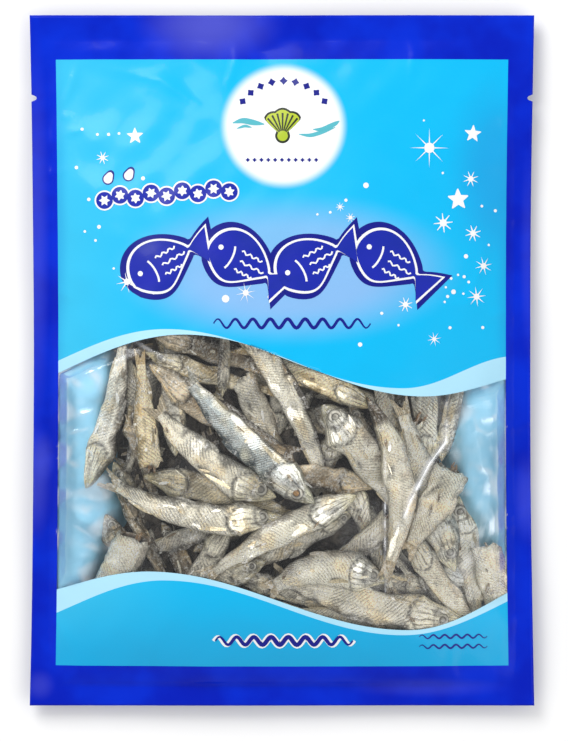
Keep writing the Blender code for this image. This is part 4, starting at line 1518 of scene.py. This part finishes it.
ornament = {
    "lift": 0.07 * mm,  # of the lowest colour over the film, and of each next one over it
    # plump fish of the title: place, length, depth, turn in degrees and how far the body arches
    "fishRow": (
        (-55, 46.5, 43, 27, 30, 4),
        (-18.5, 44.5, 43, 27, -27, 4),
        (18.5, 46.5, 43, 27, 29, 4),
        (55, 44.5, 43, 27, -28, 4),
    ),
    "shell": (0.3, 110.6, 13.0),  # place and size
    "shellHalf": 0.92,  # half angle of the fan
    "beadArc": (9, 0.8, 113.0, 25.2, 2.1),  # count, middle, radius and size
    "beadRow": (11, -17.0, 98.6, 3.4, 1.15),  # count, first place, spacing and size
    "drops": ((-86.8, 89.4), (-76.5, 91.0)),
    "chain": (9, -88.6, 79.8, 7.8),  # count, first place and spacing
    # wave lines: from and to, height, rise, number of waves, half width and layer
    "darkWaves": (
        (-34, 44, 18.0, 2.2, 9, 0.85, 1),
        (68, 102, -136.2, 0.9, 6, 0.5, 1),
        (68, 102, -141.2, 0.9, 6, 0.5, 1),
        (-33, 35, -138.0, 2.0, 8, 1.1, 2),
    ),
    "whiteWaves": ((-34, 36, -138.0, 2.0, 8, 1.9, 1),),
}


def onFilm(x, y, layer):
    # Points of flat places laid on the front film.
    x, y = np.asarray(x, float), np.asarray(y, float)
    return filmPoints(x, y, baseZ(x, y) + ornament["lift"] * layer)


def polarPatch(cx, cy, radius, rings, sectors, layer):
    # A shape round its middle, from a function that gives its radius at each angle.
    turn = 2 * math.pi * np.arange(sectors) / sectors
    reach = np.array([radius(a) for a in turn])
    share = np.linspace(0.02, 1, rings)[:, None]
    x = cx * mm + share * reach * mm * np.cos(turn)
    y = cy * mm + share * reach * mm * np.sin(turn)
    points = onFilm(x, y, layer)
    faces = [tuple(range(sectors))]
    for r in range(rings - 1):
        for k in range(sectors):
            n = (k + 1) % sectors
            faces.append((r * sectors + k, (r + 1) * sectors + k, (r + 1) * sectors + n, r * sectors + n))
    return points, faces


def ribbonPatch(line, up, down, across, layer):
    # A shape along a line, from its half widths to both sides at each point, all in millimetres.
    line = np.array(line, float)
    along = np.gradient(line, axis=0)
    along /= np.linalg.norm(along, axis=1)[:, None]
    side = np.stack([-along[:, 1], along[:, 0]], axis=1)
    share = np.linspace(0, 1, across)
    reach = -np.array(down)[:, None] * (1 - share) + np.array(up)[:, None] * share
    place = (line[:, None, :] + side[:, None, :] * reach[..., None]) * mm
    return onFilm(place[..., 0], place[..., 1], layer), quads(len(line), across)


def joined(name, patches, material):
    # All patches of one colour as one piece.
    points, faces, count = [], [], 0
    for found, ring in patches:
        points.append(found)
        faces += [tuple(int(k) + count for k in face) for face in ring]
        count += len(found)
    return meshObject(name, np.concatenate(points), faces, [material])


def starRadius(size, rays, depth, turned=0.0):
    # Straight edges from each tip to a notch at a share of its radius.
    half = math.pi / rays
    dx, dy = size * depth * math.cos(half) - size, size * depth * math.sin(half)

    def radius(angle):
        part = (((angle - turned) * rays / (2 * math.pi)) % 1.0) * 2
        bearing = (2 - part if part > 1 else part) * half
        return size * dy / (math.cos(bearing) * dy - math.sin(bearing) * dx)

    return radius


def fishOutline(cx, cy, long, deep, turn, arch, grow):
    # Line and half widths of a plump leaping fish with its tail, grown by a margin.
    share = np.linspace(0, 1, 48)
    body = np.sin(math.pi * np.clip(share / 0.80, 0, 1) ** 0.72) ** 0.85
    tail = np.where(share > 0.76, (share - 0.76) / 0.24, 0.0) ** 0.9 * 0.72
    half = np.maximum(body, 0.12 * (share > 0.3)) * deep / 2
    half = np.where(share > 0.76, np.maximum(tail * deep / 2, 0.12 * deep / 2), half) + grow
    half[0] = grow * 0.6
    x = (share - 0.5) * (long + 2 * grow)
    y = arch * (1 - (2 * share - 1) ** 2)
    c, s = math.cos(math.radians(turn)), math.sin(math.radians(turn))
    line = np.stack([cx + x * c - y * s, cy + x * s + y * c], axis=1)
    return line, half, half


def titleShoal():
    # A row of plump leaping fish, each deep blue with a white line inside a dark one.
    dark, white, blue, details = [], [], [], []
    for cx, cy, long, deep, turn, arch in ornament["fishRow"]:
        c, s = math.cos(math.radians(turn)), math.sin(math.radians(turn))

        def placed(x, y):
            return cx + x * c - y * s, cy + x * s + y * c

        for found, grow, across, layer in ((dark, 2.6, 20, 1), (white, 0.2, 18, 2), (blue, -0.9, 16, 3)):
            found.append(ribbonPatch(*fishOutline(cx, cy, long, deep, turn, arch, grow), across, layer))
        details.append(polarPatch(*placed(-0.36 * long, 4.4), lambda a: 1.3, 4, 16, 4))
        bows = np.linspace(-1.0, 1.0, 14)
        lines = [([(-0.25 * long + 2.6 * math.cos(b), 2.0 + 7.0 * math.sin(b)) for b in bows], 0.5)]
        for start, length, offset in ((-0.12, 0.26, 7.2), (-0.09, 0.30, 2.4), (-0.11, 0.22, -2.4)):
            wave = [((start + length * k / 13) * long, offset + 0.7 * math.sin(k * 1.5)) for k in range(14)]
            lines.append((wave, 0.42))
        for line, half in lines:
            width = np.full(14, half)
            details.append(ribbonPatch([placed(*point) for point in line], width, width, 3, 4))
    return dark, white, blue, details


def waveLine(x0, x1, y, rise, waves, half, layer):
    # A wavy stroke that thins at its ends.
    share = np.linspace(0, 1, int(14 * waves) + 2)
    line = np.stack([x0 + (x1 - x0) * share, y + rise * np.sin(2 * math.pi * waves * share)], axis=1)
    width = half * np.sin(math.pi * np.clip(share, 0.02, 0.98)) ** 0.35
    return ribbonPatch(line, width, width, 3, layer)


def scallop():
    # A plain fan shell in the white glow.
    cx, cy, size = ornament["shell"]
    widest = ornament["shellHalf"]

    def fan(grow):
        def radius(angle):
            lean = (angle - math.pi / 2 + math.pi) % (2 * math.pi) - math.pi
            if abs(lean) > widest:
                return 2.6 + grow
            edge = size * (0.92 + 0.08 * abs(math.cos(lean * 5.2))) * (1 - 0.08 * (lean / widest) ** 2)
            fade = min(1.0, (widest - abs(lean)) / 0.10)
            return 2.6 + (edge - 2.6) * fade + grow

        return radius

    outline = [polarPatch(cx, cy, fan(1.1), 14, 144, 1)]
    inside = [polarPatch(cx, cy, fan(0.0), 14, 144, 2)]
    ribs = []
    for k in range(-3, 4):
        lean = math.pi / 2 + k * 0.235
        reach = np.linspace(2.6, size * 0.88, 12)
        line = [(cx + r * math.cos(lean), cy + r * math.sin(lean)) for r in reach]
        half = np.linspace(0.28, 0.50, 12)
        ribs.append(ribbonPatch(line, half, half, 3, 3))
    return outline, inside, ribs


def swooshes():
    # A soft wave to each side of the shell.
    found = []
    for points, thick in (
        (((-24.5, 117.0), (-19.5, 118.4), (-14.0, 117.2), (-8.8, 116.4)), 1.5),
        (((-22.5, 114.2), (-18.5, 115.6), (-15.0, 114.8)), 0.7),
        (((8.4, 111.4), (14.0, 110.6), (20.0, 112.4), (26.5, 114.8)), 1.0),
        (((15.5, 113.8), (20.0, 113.6), (26.5, 116.6), (28.5, 118.0)), 1.2),
    ):
        t = np.linspace(0, 1, 24)
        places = np.array(points)
        knots = np.linspace(0, 1, len(points))
        line = np.stack([np.interp(t, knots, places[:, 0]), np.interp(t, knots, places[:, 1])], axis=1)
        for _ in range(6):
            line[1:-1] = (line[:-2] + 2 * line[1:-1] + line[2:]) / 4
        half = thick * np.sin(math.pi * np.clip(t, 0.03, 0.97)) ** 0.7
        found.append(ribbonPatch(line, half, half, 4, 1))
    return found


def beads():
    # Small dark lozenges in an arc over the shell and in a row below it.
    found = []
    count, cx, cy, reach, size = ornament["beadArc"]
    for k in range(count):
        turn = math.pi / 2 + (k - 4) * 0.235
        x, y = cx + reach * math.cos(turn), cy + reach * math.sin(turn)
        found.append(polarPatch(x, y, starRadius(size, 4, 0.62, turn), 4, 24, 1))
    count, x, y, apart, size = ornament["beadRow"]
    for k in range(count):
        found.append(polarPatch(x + apart * k, y, starRadius(size, 4, 0.60), 3, 16, 1))
    return found


# stars of the print: place, size, rays, how deep their notches are and how far they are turned
stars = (
    (-73.2, 110.7, 4.6, 5, 0.42, 1.60),
    (-89.5, 100.0, 4.2, 8, 0.20, 0.30),
    (-77.3, 38.6, 6.0, 8, 0.17, 0.20),
    (73.4, 104.8, 9.8, 8, 0.10, 0.0),
    (95.2, 112.0, 4.8, 5, 0.42, 1.50),
    (94.3, 89.6, 5.4, 8, 0.16, 0.35),
    (88.0, 79.4, 6.0, 5, 0.44, 1.62),
    (80.5, 67.7, 7.0, 8, 0.16, 0.10),
    (95.6, 62.7, 5.6, 8, 0.18, 0.30),
    (101.0, 46.6, 5.6, 8, 0.14, 0.25),
    (97.4, 31.4, 5.8, 8, 0.16, 0.12),
    (61.5, 27.3, 5.2, 8, 0.16, 0.30),
    (75.9, 10.4, 3.8, 8, 0.18, 0.20),
    (28.9, 75.3, 3.0, 8, 0.18, 0.10),
    (-18.0, 33.0, 5.6, 8, 0.12, 0.20),
    (34.0, 70.0, 3.4, 8, 0.15, 0.30),
)

# round dots of the print: place and radius
dots = (
    (41.8, 86.0, 1.4), (-28.0, 30.1, 1.9), (38.8, 7.7, 1.1), (92.0, 51.3, 1.1), (85.7, 33.7, 1.2),
    (-99.7, 114.3, 0.8), (-92.0, 111.6, 0.7), (-86.4, 111.6, 0.8), (-81.2, 112.0, 0.7), (-69.2, 89.6, 1.0),
    (-91.4, 65.8, 1.0), (-96.5, 79.4, 0.9), (-102.7, 95.3, 0.9), (-93.2, 59.1, 0.7), (-98.6, 63.6, 0.7),
    (81.8, 35.9, 0.6), (84.5, 40.3, 0.7), (88.0, 42.1, 0.6), (91.1, 41.2, 0.8), (93.4, 38.6, 0.7),
    (90.7, 32.8, 0.6), (82.7, 31.4, 0.8), (81.2, 28.7, 0.6), (83.9, 16.0, 0.8), (100.6, 16.2, 0.8),
    (106.9, 74.0, 0.8), (100.0, 76.2, 0.7), (24.0, 72.6, 0.7), (31.8, 78.6, 0.8), (17.6, 71.6, 0.6),
    (49.6, 23.0, 0.8), (58.0, 17.2, 0.6), (-6.4, 31.0, 0.8), (-64.0, 33.0, 0.7), (-84.0, 45.2, 0.6),
    (70.6, 118.4, 0.5), (80.2, 92.4, 0.6), (103.6, 57.0, 0.6),
)


def sparkles():
    # Stars, each large one with a round middle, and the dots.
    found = []
    for x, y, size, rays, depth, turned in stars:
        found.append(polarPatch(x, y, starRadius(size, rays, depth, turned), 8, 24 * rays // 2, 1))
        if rays > 5:
            found.append(polarPatch(x, y, lambda a, s=size: 0.26 * s, 4, 24, 2))
    for x, y, size in dots:
        found.append(polarPatch(x, y, lambda a, s=size: s, 3, 12, 1))
    return found


def dropRadius(size):
    # Round, with a point to the upper right.
    return lambda angle: size * (1 + 0.65 * max(0.0, math.cos(angle - 1.1)) ** 5)


def drops():
    # Two white drops with dark outlines, over the chain of rings.
    white, dark = [], []
    for x, y in ornament["drops"]:
        dark.append(polarPatch(x, y, dropRadius(2.9), 5, 32, 1))
        white.append(polarPatch(x, y, dropRadius(2.2), 5, 32, 2))
    return white, dark


def ringChain():
    # A chain of small blue rings with white outlines, where the photo has a line of print.
    white, blue, holes = [], [], []
    count, left, low, apart = ornament["chain"]
    for k in range(count):
        x, y = left + apart * k, low + 0.5 * k + (1.0 if k % 2 else -1.0)
        white.append(polarPatch(x, y, lambda a: 5.0, 4, 32, 2))
        blue.append(polarPatch(x, y, lambda a: 4.2, 4, 32, 3))
        holes.append(polarPatch(x, y, starRadius(2.9, 6, 0.55, 0.3 * k), 4, 36, 4))
    return white, blue, holes


# Putting it together

print("film and fish: laying the fish")
ceiling, shown, frontShoal, underShoal = layFish()
sag = drape(ceiling, shown)

skinMaterial, eyeMaterial = fishSkin(), fishEye()
anchovies = frontShoal.build("anchoviesShown", [skinMaterial, eyeMaterial])
anchoviesBelow = underShoal.build("anchoviesBelow", [skinMaterial, eyeMaterial])
bed = fishBed(shadedCore())
print("fish:", len(anchovies.data.polygons), "and", len(anchoviesBelow.data.polygons), "faces")

border, panel = borderPrint(), panelPrint()
band = plainPrint("bandPrint", tones["band"], share=0.86)
backPanel = plainPrint("backPanelPrint", tones["panel"])
front = printedFront([border, panel, band])
window = windowFilm(ceiling, sag, clearFilm())
back = backFilm([border, backPanel])
# painted light: the lining's light blue is given at full strength, paler than the prints' ink, for the light
# that shines in through the film
lining = backLining(plainPrint("liningFilm", tones["lining"], 0.3, share=1.0))
print("film:", len(front.data.polygons), "printed and", len(window.data.polygons), "clear faces")

whiteInk = plainPrint("whiteInk", tones["white"], 0.3)
darkInk = plainPrint("darkInk", tones["ink"], 0.3)
blueInk = plainPrint("blueInk", tones["inkBright"], 0.28, tones["inkDeep"])
shellInk = plainPrint("shellInk", tones["shell"], 0.3, tones["shellGreen"])
swooshInk = plainPrint("swooshInk", tones["swoosh"], 0.3)
shellLineInk = plainPrint("shellLineInk", tones["shellLine"], 0.3)
dark, white, blue, details = titleShoal()
outline, inside, ribs = scallop()
dropsWhite, dropsDark = drops()
ringsWhite, ringsBlue, ringsMiddle = ringChain()
dark += [waveLine(*wave) for wave in ornament["darkWaves"]]
white += [waveLine(*wave) for wave in ornament["whiteWaves"]]
prints = [
    joined("darkPrint", dark + dropsDark + beads(), darkInk),
    joined("whitePrint", white + dropsWhite + ringsWhite, whiteInk),
    joined("bluePrint", blue + ringsBlue, blueInk),
    joined("whiteDetails", details + sparkles() + ringsMiddle, whiteInk),
    joined("wavePrint", swooshes(), swooshInk),
    joined("shellOutline", outline + ribs, shellLineInk),
    joined("shellPrint", inside, shellInk),
]
print("prints:", len(prints), "colours")

for piece in (anchovies, anchoviesBelow, bed):
    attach(piece, "root")
    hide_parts("anchovies")
for piece in (front, window, back, lining):
    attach(piece, "root")
    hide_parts("pouch")
for piece in prints:
    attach(piece, "root")
print("pieces ride on root")

# Stage, lights and camera

stage = {
    "floorHalf": 3.0,
    "floorZ": -0.4 * mm,
    "floorTones": ((0.82, 0.82, 0.82, 1.0), (0.81, 0.81, 0.81, 1.0)),
    "overhead": 0.62,  # light of the room from straight above, and from low round the pouch
    "around": 0.90,
    "passage": (0.72, 0.97),  # heights of the direction between which the one becomes the other
    "camera": {"middle": (0.001, -0.005), "plane": 0.012, "lens": 200.0, "sensor": 36.0},
    "picture": 366.4 * mm,  # height that the picture takes in
    # place, side and power of each lamp
    "keyLight": ((-0.70, 1.08, 1.2), 1.0, 20.0),
    "fillLight": ((1.1, -0.7, 1.3), 1.2, 6.5),
}
half = stage["floorHalf"]
corners = [(a * half, b * half, stage["floorZ"]) for a, b in ((-1, -1), (1, -1), (1, 1), (-1, 1))]
floorNodes = Nodes("paleFloor", Roughness=0.9, Specular_IOR_Level=0.05)
mottled = floorNodes.mix(floorNodes.noise(floorNodes.place(), 6), *stage["floorTones"])
floorNodes.link(mottled, "Base Color")
floor = meshObject("floor", corners, [(0, 1, 2, 3)], [floorNodes.material], rounded=False)

world = bpy.data.worlds.new("studio")
bpy.context.scene.world = world
world.use_nodes = True
worldNodes = world.node_tree
direction = worldNodes.nodes.new("ShaderNodeTexCoord")
parts = worldNodes.nodes.new("ShaderNodeSeparateXYZ")
worldNodes.links.new(direction.outputs["Generated"], parts.inputs[0])
ramp = worldNodes.nodes.new("ShaderNodeMapRange")
ramp.interpolation_type = "SMOOTHSTEP"
brightness = (*stage["passage"], stage["around"], stage["overhead"])
for key, number in zip(("From Min", "From Max", "To Min", "To Max"), brightness):
    ramp.inputs[key].default_value = number
worldNodes.links.new(parts.outputs[2], ramp.inputs["Value"])
sky = worldNodes.nodes["Background"]
sky.inputs[0].default_value = (1.0, 1.0, 1.0, 1.0)
worldNodes.links.new(ramp.outputs[0], sky.inputs[1])


def softLight(name):
    # A square lamp that faces the pouch.
    place, side, power = stage[name]
    data = bpy.data.lights.new(name, "AREA")
    data.shape = "RECTANGLE"
    data.size, data.size_y, data.energy = side, side, power
    lamp = bpy.data.objects.new(name, data)
    lamp.location = place
    lamp.rotation_euler = (-Vector(place)).to_track_quat("-Z", "Y").to_euler()
    bpy.context.scene.collection.objects.link(lamp)


softLight("keyLight")
softLight("fillLight")

view = stage["camera"]
cameraData = bpy.data.cameras.new("camera")
cameraData.lens = view["lens"]
cameraData.sensor_width = cameraData.sensor_height = view["sensor"]
cameraData.sensor_fit = "VERTICAL"
cameraData.clip_end = 20
camera = bpy.data.objects.new("camera", cameraData)
distance = stage["picture"] * view["lens"] / view["sensor"]
camera.location = (*view["middle"], view["plane"] + distance)
bpy.context.scene.collection.objects.link(camera)
bpy.context.scene.camera = camera
bpy.context.scene.view_settings.view_transform = "Standard"
print("stage, lamps and camera are in place")
